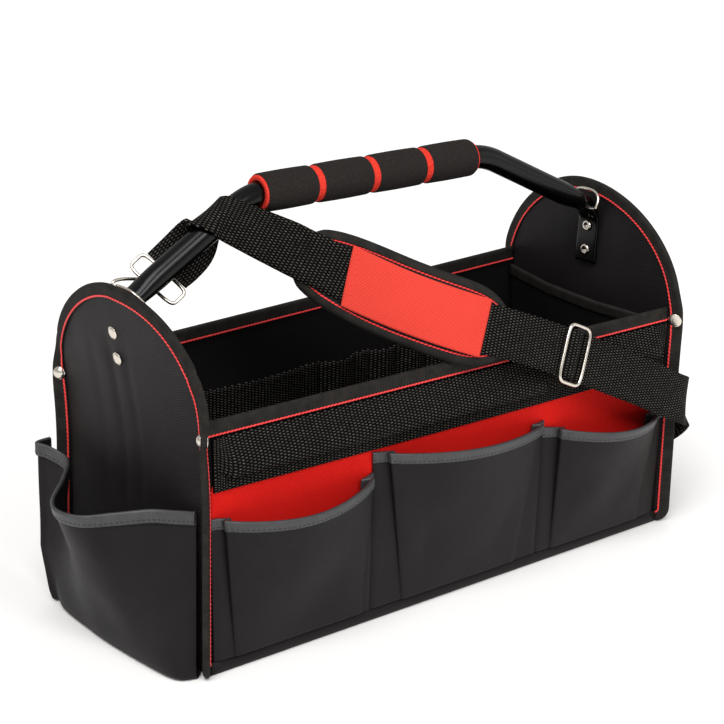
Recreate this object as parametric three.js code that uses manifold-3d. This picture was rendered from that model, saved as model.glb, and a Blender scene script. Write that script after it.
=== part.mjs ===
// An open tool bag with a tube handle and a shoulder strap, built the way it is sewn.
// Millimetres, +Z up. The origin is the middle of the underside, +X runs along the length
// to the right, and the front with its three pockets faces -Y.

import * as THREE from 'three';
import { mergeVertices } from 'three/addons/utils/BufferGeometryUtils.js';
import Module from 'manifold-3d';

const wasm = await Module();
wasm.setup();

const { lerp, smoothstep, degToRad } = THREE.MathUtils;
const vec = (x, y, z) => new THREE.Vector3(x, y, z);

// Driving sizes
const GAP = 0.3; // air left between neighbouring pieces
const WALL_TOP = 189.5; // raw edge of the long walls, under their binding
const FLOOR_TOP = 2.6; // upper face of the base
const SEAT = FLOOR_TOP + GAP; // where walls and end panels stand
const CLOTH = 1.6; // long walls
const PANEL = 2; // end panels
const POCKET_CLOTH = 1.2;
const TAPE = 1; // edge binding
const TAPE_GAP = 0.45; // air between a binding and the cloth in it
const FLANGE_TAPE_GAP = 1; // the same where the cloth twists, on the end panels
const WEBBING = 1.6;

// The four seams that the walls meet in: where each stands, and where it is at the wall's top
const POSTS = {
  frontLeft: { footX: -227, footY: -87, topX: -222, topY: -83 },
  frontRight: { footX: 233, footY: -87, topX: 223, topY: -99 },
  backLeft: { footX: -227, footY: 86, topX: -222, topY: 86 },
  backRight: { footX: 233, footY: 86, topX: 223, topY: 83 },
};

// The seam flange that stands out diagonally at each corner and unrolls into the arch
const FIN = 9.5;
const FIN_TURN = degToRad(45);
const FIN_TURN_FROM = 165;
const FIN_TURN_TO = 208;

// The end panels. apex is where along the depth the arch is highest, and a fullness of 2 is an ellipse.
const ARCH_SPRING = 186;
const ARCH_RISE = 87;
const LEAN_FROM = 120; // below this height the ends stand upright
const LEAN_FULL = 200; // above this height they lean evenly
const SHELL_LEVELS = [10.8, 70, 130, 152, 168, 180]; // heights that every piece of the shell has a row at
const ENDS = {
  left: {
    sign: -1, front: 'frontLeft', back: 'backLeft', lean: 0.17,
    apex: 0.485, frontFullness: 2.5, backFullness: 1.66,
    neckInset: 11, ringAbove: 12, ringAt: 222, ringLean: degToRad(6), bow: 3.5,
    folds: [
      { y: 14, depth: 2.2, width: 7 },
      { y: -6, depth: 1.6, width: 6 },
      { y: 38, depth: 1.2, width: 8 },
    ],
  },
  right: {
    sign: 1, front: 'frontRight', back: 'backRight', lean: 0.06,
    apex: 0.554, frontFullness: 1.9, backFullness: 1.94,
    neckInset: 6.5, ringAbove: 12, ringAt: 216, ringLean: 0, bow: 0,
    folds: [
      { y: 22, depth: 1.6, width: 9 },
      { y: -40, depth: 1.4, width: 8 },
    ],
  },
};
// The long walls. The rises are how far their top edges stand above WALL_TOP at the two ends.
const WALLS = {
  front: { sign: -1, left: 'frontLeft', right: 'frontRight', riseLeft: 0, riseRight: 0 },
  back: { sign: 1, left: 'backLeft', right: 'backRight', riseLeft: 2, riseRight: 8.5 },
};
const WALL_BELLY = 2; // how far the long walls swell at mid height

// Front dressing, by height and by distance out from the wall
const RIM_TOP = 10.5; // base cloth turned up on the walls
const RIM_OUT = 2.4;
const RED_CLOTH = 0.8;
const RED_SIDE_INSET = 6;
const RED_TOP = 179;
const BAND = { left: -216, right: 215, join: 98, foot: 139, top: 178.6, out: 1.5, bulge: 7 };
const POCKET_FOOT = 11;
const POCKET_SEAM_OUT = 2.6;
const FRONT_POCKETS = [
  { name: 'left', left: -216, right: -81, footLeft: -203, footRight: -89, topLeft: -213, topRight: -84,
    mouthLeft: 119, mouthMiddle: 114, mouthRight: 120, crease: 8, bulge: 17 },
  { name: 'middle', left: -75, right: 88, footLeft: -47, footRight: 66, topLeft: -66, topRight: 84,
    mouthLeft: 136, mouthMiddle: 127, mouthRight: 123, crease: 7, bulge: 15 },
  { name: 'right', left: 94, right: 214, footLeft: 108, footRight: 204, topLeft: 105, topRight: 210,
    mouthLeft: 117, mouthMiddle: 107, mouthRight: 103, crease: 9, bulge: 17 },
];

// The pocket on the left end: how far its mouth and its foot stand out along the depth, and the
// share of that left at the floor where it draws in to the panel
const END_POCKET = [
  { mouthY: -78, mouthOut: 3.4, mouthZ: 124, footY: -87, footOut: 8, low: 1 },
  { mouthY: -62, mouthOut: 9, mouthZ: 121, footY: -83, footOut: 19, low: 1 },
  { mouthY: -45, mouthOut: 19, mouthZ: 119, footY: -72, footOut: 24, low: 1 },
  { mouthY: -30, mouthOut: 40, mouthZ: 117, footY: -48, footOut: 26, low: 1 },
  { mouthY: -17, mouthOut: 60, mouthZ: 116, footY: -22, footOut: 27, low: 1 },
  { mouthY: 2, mouthOut: 66, mouthZ: 116, footY: 5, footOut: 27, low: 1 },
  { mouthY: 18, mouthOut: 59, mouthZ: 117, footY: 30, footOut: 25, low: 1 },
  { mouthY: 40, mouthOut: 36, mouthZ: 120, footY: 52, footOut: 24, low: 0.95 },
  { mouthY: 62, mouthOut: 18, mouthZ: 124, footY: 70, footOut: 24, low: 0.8 },
  { mouthY: 80, mouthOut: 22, mouthZ: 129, footY: 82, footOut: 25, low: 0.5 },
  { mouthY: 89, mouthOut: 27, mouthZ: 131, footY: 87, footOut: 26, low: 0.62 },
  { mouthY: 91, mouthOut: 14.5, mouthZ: 131, footY: 89, footOut: 12.5, low: 1 },
];
const END_POCKET_DRAWN = 50; // the height below which it draws in
// Its side view from the seam under it to the mouth: height and outward swell as shares
const END_POCKET_PROFILE = [
  { rise: 0.012, swell: 0, tuck: 0.004 },
  { rise: 0.008, swell: 0, tuck: 0.8 },
  { rise: 0.06, swell: 0, tuck: 1 },
  { rise: 0.24, swell: 0.12, tuck: 1 },
  { rise: 0.48, swell: 0.36, tuck: 1 },
  { rise: 0.72, swell: 0.66, tuck: 1 },
  { rise: 0.92, swell: 0.9, tuck: 1 },
  { rise: 1, swell: 1, tuck: 1 },
];

// Pockets inside the two ends, standing in from the panel at the front, the middle and the back
const INNER_POCKET_FOOT = 62;
const INNER_POCKET_MOUTH = 184;
const INNER_POCKETS = {
  left: { front: 9, middle: 16, back: 4 },
  right: { front: 17, middle: 20, back: 4 },
};
const INNER_POCKET_FOOT_OUT = 0.1;
const INNER_POCKET_ROWS = [0, 0.5, 0.925, 1];

// Webbing on the back wall, sewn down at each x with a loop of the given depth to its right
const LOOP_STRIP = { foot: 96, top: 140, out: 0.5 };
const LOOPS = [
  { x: -194, depth: 3 },
  { x: -100, depth: 5 },
  { x: -4, depth: 0.6 },
  { x: 12, depth: 9 },
  { x: 47, depth: 1 },
  { x: 62, depth: 9 },
  { x: 92, depth: 9 },
  { x: 124, depth: 8 },
  { x: 158, depth: 6 },
  { x: 190, depth: 0 },
];

// The handle: a tube bent down at both ends, flattened where it is riveted to the end panels
const TUBE = 18.5;
const TAB_WIDE = 22;
const TAB_THICK = 3;
const TAB_GAP = 0.7; // air between the tab and the end panel
const TAB_FOOT = 207;
const TAB_TOP = 243;
const HANDLE_BENDS = { left: { x: -119.5, z: 318 }, right: { x: 105, z: 314.2 } };
const HANDLE_SKEW = { middle: -0.5, slope: -0.02 }; // the tube's y against x
const NECK_RISE = 14;
const BEND_RUN = 6.5; // length of each side of a bend
const GRIP = {
  left: -112.5, right: 91.5, core: 26.6, sleeve: 29, bore: 19.8, sleeves: 4, groove: 5, endBare: 1.2,
};

// Fastenings
const RIVET = { head: 9.2, dome: 1.8, shank: 3.6, tail: 8.4, tailThick: 1.2 };
const HANDLE_RIVET_HEIGHTS = { lower: 217, upper: 237 };
const CORNER_RIVET_HEIGHT = 181;
const D_RING = { half: 15.5, below: 2.6, wire: 3, bore: 4.4 }; // its bar runs through a bore across the tube
const HOOKED_AT = degToRad(53); // where on the left D ring the strap's hook hangs

// The strap from its left ring to its hidden right end: middle of the webbing, and the way across it
const STRAP_WIDE = 38;
const STRAP = [
  { x: -185, y: 19.5, z: 272, ax: 0.35, ay: -0.76, az: -0.55 },
  { x: -171, y: 19, z: 281, ax: 0.6, ay: -0.5, az: -0.5 },
  { x: -152.1, y: 14, z: 299.7, ax: 0.99, ay: 0, az: 0.142 },
  { x: -153.2, y: 10.4, z: 308.3, ax: 0.934, ay: 0.265, az: 0.237 },
  { x: -151.6, y: 2.4, z: 312.2, ax: 0.801, ay: 0.375, az: 0.466 },
  { x: -147.2, y: -5.1, z: 311.2, ax: 0.668, ay: 0.265, az: 0.695 },
  { x: -140.5, y: -8.3, z: 306.5, ax: 0.613, ay: 0, az: 0.79 },
  { x: -111, y: -19, z: 287, ax: 0.62, ay: -0.18, az: 0.72 },
  { x: -86, y: -30, z: 271, ax: 0.6, ay: -0.14, az: 0.76 },
  { x: -27, y: -63, z: 236, ax: 0.43, ay: 0.05, az: 0.9 },
  { x: 8, y: -97, z: 220, ax: 0.42, ay: 0.1, az: 0.9 },
  { x: 44, y: -107, z: 206, ax: 0.4, ay: 0.2, az: 0.88 },
  { x: 74, y: -110, z: 193, ax: 0.36, ay: 0.2, az: 0.9 },
  { x: 108, y: -112, z: 177, ax: 0.32, ay: 0.18, az: 0.93 },
  { x: 140, y: -114, z: 161, ax: 0.32, ay: 0.14, az: 0.93 },
  { x: 180, y: -115.5, z: 141, ax: 0.32, ay: 0.08, az: 0.94 },
  { x: 215, y: -115, z: 122, ax: 0.3, ay: 0.1, az: 0.94 },
  { x: 235, y: -111, z: 112, ax: 0.26, ay: 0.16, az: 0.94 },
  { x: 245, y: -98, z: 104, ax: 0.1, ay: 0.35, az: 0.92 },
  { x: 245.5, y: -86, z: 90, ax: 0.02, ay: 0.6, az: 0.8 },
  { x: 241.5, y: -68, z: 76, ax: 0, ay: 0.6, az: 0.8 },
  { x: 239.5, y: -42, z: 62, ax: 0, ay: 0.5, az: 0.86 },
  { x: 240.5, y: -14, z: 50, ax: 0, ay: 0.45, az: 0.89 },
];
const STRAP_STEPS = 66;
const STRAP_GAP = 0.5; // air between the strap and the layers on it
const PAD = { fromStep: 23, toStep: 32, wide: 60, thick: 7 };
const PATCH = { fromStep: 25, toStep: 31, wide: 47, thick: 1 };
const SLIDER = { at: 0.582, long: 45, short: 22, wire: 3.6 };
const STRAP_RING = { long: 43, short: 15, wire: 3.6 };
const HOOK = { reach: 3.9, short: 10.6, wire: 3.2 }; // reach is how far it runs on past what it holds
const FREE_HOOK = 30; // length of the hook on the strap's hidden end

// Finishes
const finish = (color, roughness, metalness = 0) =>
  new THREE.MeshStandardMaterial({ color, roughness, metalness });
const BLACK_CLOTH = finish(0x2b2829, 0.85);
const RED_FABRIC = finish(0xe2302c, 0.75);
const BLACK_TAPE = finish(0x34322f, 0.8);
const GREY_TAPE = finish(0x6b6b6b, 0.8);
const BLACK_WEBBING = finish(0x232220, 0.8);
const BLACK_PAINT = finish(0x141414, 0.25);
const BLACK_FOAM = finish(0x35322f, 0.95);
const RED_FOAM = finish(0xd8342c, 0.9);
const NICKEL = finish(0xd8d3c8, 0.2, 1);

// Shape helpers

/** Keeps only merged positions, with every face turned outwards. */
function closedGeometry(geometry) {
  geometry.deleteAttribute('normal');
  geometry.deleteAttribute('uv');
  const merged = mergeVertices(geometry, 1e-4);
  const { array } = merged.index;
  const [a, b, c] = [vec(0, 0, 0), vec(0, 0, 0), vec(0, 0, 0)];
  let volume = 0;
  for (let i = 0; i < array.length; i += 3) {
    a.fromBufferAttribute(merged.attributes.position, array[i]);
    b.fromBufferAttribute(merged.attributes.position, array[i + 1]);
    c.fromBufferAttribute(merged.attributes.position, array[i + 2]);
    volume += a.dot(b.cross(c));
  }
  if (volume < 0) {
    for (let i = 0; i < array.length; i += 3) [array[i], array[i + 1]] = [array[i + 1], array[i]];
  }
  return merged;
}

/** Moves every vertex of a geometry to the point that place gives for it. */
function reshaped(geometry, place) {
  geometry.deleteAttribute('normal');
  geometry.deleteAttribute('uv');
  const merged = mergeVertices(geometry, 1e-4);
  const { position } = merged.attributes;
  for (let i = 0; i < position.count; i += 1) {
    const moved = place(position.getX(i), position.getY(i), position.getZ(i));
    position.setXYZ(i, moved.x, moved.y, moved.z);
  }
  return closedGeometry(merged);
}

/** A flat box bent into place: u runs along it, v across it and w through it, each from 0 to 1. */
function bentSheet(uSteps, vSteps, place) {
  const box = new THREE.BoxGeometry(1, 1, 1, uSteps, vSteps, 1);
  return reshaped(box.translate(0.5, 0.5, 0.5), place);
}

/** The normal of a surface given as a function of u and v. */
function surfaceNormal(surface, u, v, step) {
  const alongU = surface(Math.min(1, u + step), v).sub(surface(Math.max(0, u - step), v));
  const alongV = surface(u, Math.min(1, v + step)).sub(surface(u, Math.max(0, v - step)));
  return alongU.cross(alongV).normalize();
}

/** Cloth of one thickness laid on a surface, as the place of its points. */
function clothPlace(surface, uSteps, vSteps, thickness) {
  const step = 0.5 / Math.max(uSteps, vSteps);
  return (u, v, w) => {
    const normal = surfaceNormal(surface, u, v, step);
    return surface(u, v).addScaledVector(normal, w * thickness);
  };
}

/** Binding folded over an edge. edgeAt gives a face's edge, its leg's end, the way out and the way off. */
function foldedTape(steps, gap, edgeAt) {
  const section = [
    { side: -1, onEdge: false },
    { side: -1, onEdge: true },
    { side: 1, onEdge: true },
    { side: 1, onEdge: false },
  ];
  return bentSheet(steps, section.length - 1, (u, v, w) => {
    const { side, onEdge } = section[Math.round(v * (section.length - 1))];
    const { edge, foot, out, normal } = edgeAt(u, side);
    const point = onEdge ? edge.clone().addScaledVector(out, GAP + w * TAPE) : foot.clone();
    return point.addScaledVector(normal, side * (gap + w * TAPE));
  });
}

/** The binding on the v = 1 edge of a piece of cloth, covering its last row of faces. */
function mouthTape(place, uSteps, vSteps) {
  return foldedTape(uSteps, TAPE_GAP, (u, side) => {
    const face = side < 0 ? 0 : 1;
    const edge = place(u, 1, face);
    const foot = place(u, 1 - 1 / vSteps, face);
    const normal = place(u, 1, 1).sub(place(u, 1, 0)).normalize();
    return { edge, foot, out: edge.clone().sub(foot).normalize(), normal };
  });
}

/** A row of a table at t from 0 to 1, each column on a smooth curve through its values. */
function rowAt(rows, t) {
  const place = Math.min(0.999999, Math.max(0, t)) * (rows.length - 1);
  const i = Math.floor(place);
  const f = place - i;
  const before = rows[Math.max(0, i - 1)];
  const after = rows[Math.min(rows.length - 1, i + 2)];
  const row = {};
  for (const key of Object.keys(rows[i])) {
    const [p, q] = [rows[i][key], rows[i + 1][key]];
    const [inSlope, outSlope] = [(q - before[key]) / 2, (after[key] - p) / 2];
    const bend = 3 * (q - p) - 2 * inSlope - outSlope;
    row[key] = p + f * (inSlope + f * (bend + f * (2 * (p - q) + inSlope + outSlope)));
  }
  return row;
}

/** The value at a place from 0 to 1 along a list, straight from each entry to the next. */
function evenly(list, place) {
  const index = Math.min(list.length - 2, Math.floor(place * (list.length - 1)));
  return lerp(list[index], list[index + 1], place * (list.length - 1) - index);
}

/** A closed loop of round wire: outline gives its middle line in the frame's two directions by angle. */
function wireLoop(outline, wire, frame, sides = 5, steps = 16) {
  const tube = 0.25;
  const torus = new THREE.TorusGeometry(1, tube, sides, steps);
  return reshaped(torus, (x, y, z) => {
    const angle = Math.atan2(y, x);
    const here = outline(angle);
    const ahead = outline(angle + 0.05);
    const behind = outline(angle - 0.05);
    const along = new THREE.Vector2(ahead.x - behind.x, ahead.y - behind.y).normalize();
    const off = ((Math.hypot(x, y) - 1) / tube) * (wire / 2);
    const through = (z / tube) * (wire / 2);
    return frame.at
      .clone()
      .addScaledVector(frame.across, here.x + along.y * off)
      .addScaledVector(frame.up, here.y - along.x * off)
      .addScaledVector(frame.normal, through);
  });
}

/** A rectangle with round corners, as an outline for wireLoop. */
function roundedRectangle(long, short) {
  const squareness = 0.36;
  const push = (c) => Math.sign(c) * Math.abs(c) ** squareness;
  return (angle) => ({ x: (push(Math.cos(angle)) * long) / 2, y: (push(Math.sin(angle)) * short) / 2 });
}

/** A geometry as a solid that can be cut. */
function toSolid(geometry) {
  const vertProperties = Float32Array.from(geometry.attributes.position.array);
  const triVerts = Uint32Array.from(geometry.index.array);
  return new wasm.Manifold(new wasm.Mesh({ numProp: 3, vertProperties, triVerts }));
}

/** A geometry with round holes of one radius drilled through it. */
function drilled(geometry, holes, radius) {
  const boreLength = 30;
  let solid = toSolid(geometry);
  for (const hole of holes) {
    const bore = new THREE.CylinderGeometry(radius, radius, boreLength, 8);
    bore.applyQuaternion(new THREE.Quaternion().setFromUnitVectors(vec(0, 1, 0), hole.axis));
    bore.translate(hole.at.x, hole.at.y, hole.at.z);
    solid = solid.subtract(toSolid(closedGeometry(bore)));
  }
  const { vertProperties, triVerts } = solid.getMesh();
  const cut = new THREE.BufferGeometry();
  cut.setAttribute('position', new THREE.BufferAttribute(Float32Array.from(vertProperties), 3));
  cut.setIndex(new THREE.BufferAttribute(Uint32Array.from(triVerts), 1));
  return cut;
}

/** A round part turned about +Y from a closed profile of radius and height pairs. */
function turned(profile, segments) {
  const points = profile.map(([radius, height]) => new THREE.Vector2(radius, height));
  return closedGeometry(new THREE.LatheGeometry(points, segments));
}

// Where the sewn shell runs

/** A corner seam's place at a height. */
function postAt(name, z) {
  const post = POSTS[name];
  const share = Math.min(1, z / WALL_TOP);
  return { x: lerp(post.footX, post.topX, share), y: lerp(post.footY, post.topY, share) };
}

/** How far an end leans out at a height. */
function leanAt(end, z) {
  const bend = Math.min(LEAN_FULL, Math.max(LEAN_FROM, z)) - LEAN_FROM;
  return end.lean * (bend ** 2 / (2 * (LEAN_FULL - LEAN_FROM)) + Math.max(0, z - LEAN_FULL));
}

/** How far the soft upright folds of an end panel dip in at a place. */
function foldAt(end, y, z) {
  const fade = smoothstep(z, 90, 190) * (1 - smoothstep(z, 205, 244));
  const dips = end.folds.map((fold) => fold.depth * Math.exp(-(((y - fold.y) / fold.width) ** 2)));
  return -fade * dips.reduce((sum, dip) => sum + dip, 0);
}

/** How far the arched edge has come in from the side of the flat panel at a height. */
function edgeInset(end, side, z) {
  const rise = Math.min(1, Math.max(0, (z - ARCH_SPRING) / ARCH_RISE));
  const [span, fullness] = side < 0 ? [end.apex, end.frontFullness] : [1 - end.apex, end.backFullness];
  return unrolledWidth(end) * span * (1 - (1 - rise ** fullness) ** (1 / fullness));
}

/** The outer face of an end panel. fin is 0 between the posts, and up to -1 or 1 out on a seam flange. */
function endFrame(end, column, z) {
  const front = postAt(end.front, z);
  const back = postAt(end.back, z);
  const y = lerp(front.y, back.y, column.along);
  const middle = Math.max(0, Math.sin(Math.PI * column.along));
  const bow = end.bow * Math.sqrt(middle) * smoothstep(z, LEAN_FROM, LEAN_FULL);
  const out = leanAt(end, z) + bow + foldAt(end, y, z) * middle;
  const x = lerp(front.x, back.x, column.along) + end.sign * out;
  const turn = FIN_TURN * (1 - smoothstep(z, FIN_TURN_FROM, FIN_TURN_TO));
  const side = Math.sign(column.fin);
  const reach = Math.abs(column.fin) * (FIN - edgeInset(end, side, z));
  const point = vec(x + end.sign * Math.sin(turn) * reach, y + side * Math.cos(turn) * reach, z);
  const tilt = turn * Math.abs(side);
  return { point, normal: vec(end.sign * Math.cos(tilt), -side * Math.sin(tilt), 0), turn };
}

/** The way from the outer to the inner face of an end panel, mitred where a flange leaves the panel. */
function panelInward(end, column, z) {
  const { normal, turn } = endFrame(end, column, z);
  const atPost = column.fin === 0 && (column.along === 0 || column.along === 1);
  if (!atPost) return normal.multiplyScalar(-PANEL);
  const side = column.along === 0 ? -1 : 1;
  const flange = vec(end.sign * Math.cos(turn), -side * Math.sin(turn), 0);
  return normal.add(flange).multiplyScalar(-PANEL / (1 + Math.cos(turn)));
}

/** The shell's rows between two heights. */
function rowsBetween(low, high) {
  return [low, ...SHELL_LEVELS.filter((z) => z > low && z < high), high];
}

/** The width of an end panel laid flat, with both its flanges. */
function unrolledWidth(end) {
  return POSTS[end.back].topY - POSTS[end.front].topY + 2 * FIN;
}

/** The column of an end panel at a distance across it laid flat, from its front edge. */
function columnAt(end, across, z) {
  const depth = unrolledWidth(end) - 2 * FIN;
  const unrolled = across - FIN;
  if (unrolled < 0) return { fin: unrolled / (FIN - edgeInset(end, -1, z)), along: 0 };
  if (unrolled > depth) return { fin: (unrolled - depth) / (FIN - edgeInset(end, 1, z)), along: 1 };
  return { fin: 0, along: unrolled / depth };
}

/** The inverse of columnAt. */
function acrossOf(end, column, z) {
  const side = Math.sign(column.fin);
  const depth = unrolledWidth(end) - 2 * FIN;
  return FIN + column.along * depth + column.fin * (FIN - edgeInset(end, side, z));
}

/** The height that a column of an end panel rises to. */
function columnTop(end, column) {
  const width = unrolledWidth(end);
  if (column.fin !== 0) return archTop(end, 0.5 + Math.sign(column.fin) * (0.5 - (0.5 * FIN) / width));
  return archTop(end, acrossOf(end, column, 0) / width);
}

/** Height of the arched edge of an end panel at an unrolled share. */
function archTop(end, share) {
  const front = share < end.apex;
  const off = front ? (end.apex - share) / end.apex : (share - end.apex) / (1 - end.apex);
  const fullness = front ? end.frontFullness : end.backFullness;
  return ARCH_SPRING + ARCH_RISE * Math.max(0, 1 - Math.min(1, off) ** fullness) ** (1 / fullness);
}

/** Where a long wall's end stops, just inside the end panel. */
function wallEndX(end, along, z) {
  return endFrame(end, { fin: 0, along }, z).point.x - end.sign * (PANEL + GAP);
}

/** The outer face of a long wall at x, moved out by a distance. */
function wallFace(wall, x, z, out) {
  const left = postAt(wall.left, z);
  const right = postAt(wall.right, z);
  const share = (x - left.x) / (right.x - left.x);
  const rise = Math.min(z, WALL_TOP) / WALL_TOP;
  const belly = WALL_BELLY * Math.sin(Math.PI * share) * Math.sin(Math.PI * rise);
  return vec(x, lerp(left.y, right.y, share) + wall.sign * (belly + out), z);
}

// Pieces of the shell

const BASE_STEPS = 6;
function basePanel() {
  const section = [
    { side: -1, outer: { out: RIM_OUT + GAP, z: RIM_TOP }, inner: { out: GAP, z: RIM_TOP } },
    { side: -1, outer: { out: RIM_OUT + GAP, z: 2 }, inner: { out: GAP, z: FLOOR_TOP } },
    { side: -1, outer: { out: 0.6, z: 0 }, inner: { out: -4, z: FLOOR_TOP } },
    { side: 1, outer: { out: 0.6, z: 0 }, inner: { out: -4, z: FLOOR_TOP } },
    { side: 1, outer: { out: RIM_OUT + GAP, z: 2 }, inner: { out: GAP, z: FLOOR_TOP } },
    { side: 1, outer: { out: RIM_OUT + GAP, z: RIM_TOP }, inner: { out: GAP, z: RIM_TOP } },
  ];
  const endInset = 3;
  return bentSheet(BASE_STEPS, section.length - 1, (u, v, w) => {
    const row = section[Math.round(v * (section.length - 1))];
    const { out, z } = w < 0.5 ? row.outer : row.inner;
    const wall = row.side < 0 ? WALLS.front : WALLS.back;
    const x = lerp(postAt(wall.left, z).x + endInset, postAt(wall.right, z).x - endInset, u);
    return wallFace(wall, x, z, out);
  });
}

const WALL_STEPS = 7;
const WALL_ROWS = rowsBetween(SEAT, WALL_TOP);
function wallPlace(wall) {
  const along = wall.sign < 0 ? 0 : 1;
  return (u, v, w) => {
    const row = Math.round(v * (WALL_ROWS.length - 1));
    const atTop = row >= WALL_ROWS.length - 2;
    const z = WALL_ROWS[row] + (atTop ? lerp(wall.riseLeft, wall.riseRight, u) : 0);
    const x = lerp(wallEndX(ENDS.left, along, z), wallEndX(ENDS.right, along, z), u);
    return wallFace(wall, x, z, (w - 1) * CLOTH);
  };
}

function longWallTape(wall) {
  const place = wallPlace(wall);
  const endShare = 0.008;
  const inset = (u, v, w) => place(lerp(endShare, 1 - endShare, u), v, w);
  return mouthTape(inset, WALL_STEPS, WALL_ROWS.length - 1);
}

const PANEL_COLUMNS = 16;
const FLANGE_ROWS = [SEAT, ...SHELL_LEVELS];
const ARCH_ROWS = 3;
const PANEL_ROWS = FLANGE_ROWS.length - 1 + ARCH_ROWS;
function panelColumn(u) {
  const index = Math.round(u * PANEL_COLUMNS);
  if (index === 0) return { fin: -1, along: 0 };
  if (index === PANEL_COLUMNS) return { fin: 1, along: 1 };
  const middle = (index - 1) / (PANEL_COLUMNS - 2);
  return { fin: 0, along: lerp(middle, 0.5 - 0.5 * Math.cos(Math.PI * middle), 0.7) };
}

function endPanel(end) {
  const springRow = FLANGE_ROWS.length - 1;
  return bentSheet(PANEL_COLUMNS, PANEL_ROWS, (u, v, w) => {
    const column = panelColumn(u);
    const row = Math.round(v * PANEL_ROWS);
    const top = columnTop(end, column);
    const inArch = lerp(FLANGE_ROWS[springRow], top, (row - springRow) / ARCH_ROWS);
    const z = row <= springRow ? FLANGE_ROWS[row] : inArch;
    return endFrame(end, column, z).point.addScaledVector(panelInward(end, column, z), w);
  });
}

const TAPE_FOOT = 0.8;
const FLANGE_TAPE_LEG = 7.6;
function endTape(end) {
  const spring = SHELL_LEVELS[SHELL_LEVELS.length - 1];
  const sideRows = (column) => {
    const top = columnTop(end, column);
    const arch = Array.from({ length: ARCH_ROWS }, (_, i) => lerp(spring, top, (i + 1) / ARCH_ROWS));
    return [TAPE_FOOT, ...SHELL_LEVELS, ...arch].map((z) => ({ column, z }));
  };
  const inner = Array.from({ length: PANEL_COLUMNS - 1 }, (_, i) => panelColumn((i + 1) / PANEL_COLUMNS));
  const stations = [
    ...sideRows(panelColumn(0)),
    ...inner.map((column) => ({ column, z: columnTop(end, column) })),
    ...sideRows(panelColumn(1)).reverse(),
  ];
  const steps = stations.length - 1;
  const flatAt = (index) => {
    const { column, z } = stations[Math.min(steps, Math.max(0, index))];
    return new THREE.Vector2(acrossOf(end, column, z), z);
  };
  const facePoint = (column, z, side) => {
    const { point } = endFrame(end, column, z);
    return side < 0 ? point.add(panelInward(end, column, z)) : point;
  };
  return foldedTape(steps, FLANGE_TAPE_GAP, (u, side) => {
    const index = Math.round(u * steps);
    const { column, z } = stations[index];
    const before = flatAt(index).sub(flatAt(index - 1)).normalize();
    const after = flatAt(index + 1).sub(flatAt(index)).normalize();
    const along = before.add(after).normalize();
    const inFlat = flatAt(index).add(new THREE.Vector2(along.y, -along.x).multiplyScalar(FLANGE_TAPE_LEG));
    const edge = facePoint(column, z, side);
    const foot = facePoint(columnAt(end, inFlat.x, inFlat.y), inFlat.y, side);
    return { edge, foot, out: edge.clone().sub(foot).normalize(), normal: endFrame(end, column, z).normal };
  });
}

// Pieces sewn on the front

function redPanel() {
  const wall = WALLS.front;
  const rows = rowsBetween(SHELL_LEVELS[0], RED_TOP);
  return bentSheet(WALL_STEPS, rows.length - 1, (u, v, w) => {
    const z = rows[Math.round(v * (rows.length - 1))];
    const left = postAt(wall.left, z).x + RED_SIDE_INSET;
    const right = postAt(wall.right, z).x - RED_SIDE_INSET;
    return wallFace(wall, lerp(left, right, u), z, GAP + (1 - w) * RED_CLOTH);
  });
}

function webBand() {
  const endRun = 9;
  const surface = (u, v) => {
    const x = lerp(BAND.left, BAND.right, u);
    const nearest = Math.min(x - BAND.left, BAND.right - x, Math.abs(x - BAND.join));
    const loose = smoothstep(nearest, 1, endRun + 6);
    const drop = 1 - v;
    const swell = Math.sin(Math.PI * Math.min(1, drop * 1.15) * 0.72) ** 1.2;
    return wallFace(WALLS.front, x, lerp(BAND.foot, BAND.top, v), BAND.out + BAND.bulge * loose * swell);
  };
  const steps = { along: 18, up: 3 };
  return bentSheet(steps.along, steps.up, clothPlace(surface, steps.along, steps.up, WEBBING));
}

const POCKET_COLUMNS = 11;
const POCKET_ROWS = [0, 0.28, 0.54, 0.76, 0.915, 1]; // shares of the height, the last one under the binding
const POCKET_STEPS = POCKET_ROWS.length - 1;
function frontPocketSurface(pocket) {
  return (u, rowPlace) => {
    const v = evenly(POCKET_ROWS, rowPlace);
    const place = u * POCKET_COLUMNS;
    const creaseLeft = lerp(pocket.footLeft, pocket.topLeft, v);
    const creaseRight = lerp(pocket.footRight, pocket.topRight, v);
    const creaseOut = lerp(1.5, pocket.crease, v ** 1.2);
    const side = Math.min(1, place, POCKET_COLUMNS - place);
    const face = Math.min(1, Math.max(0, (place - 1) / (POCKET_COLUMNS - 2)));
    let x = lerp(creaseLeft, creaseRight, face);
    if (place < 1) x = lerp(pocket.left, creaseLeft, place);
    if (place > POCKET_COLUMNS - 1) x = lerp(pocket.right, creaseRight, POCKET_COLUMNS - place);
    const bulge = pocket.bulge * v ** 1.3 * Math.sin(Math.PI * face) ** 0.8;
    const mouth = lerp(pocket.mouthLeft, pocket.mouthRight, u)
      + (pocket.mouthMiddle - (pocket.mouthLeft + pocket.mouthRight) / 2) * Math.sin(Math.PI * u);
    const out = POCKET_SEAM_OUT + creaseOut * side + bulge;
    return wallFace(WALLS.front, x, lerp(POCKET_FOOT, mouth, v), out);
  };
}

// The left end's pocket and the pockets inside

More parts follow.
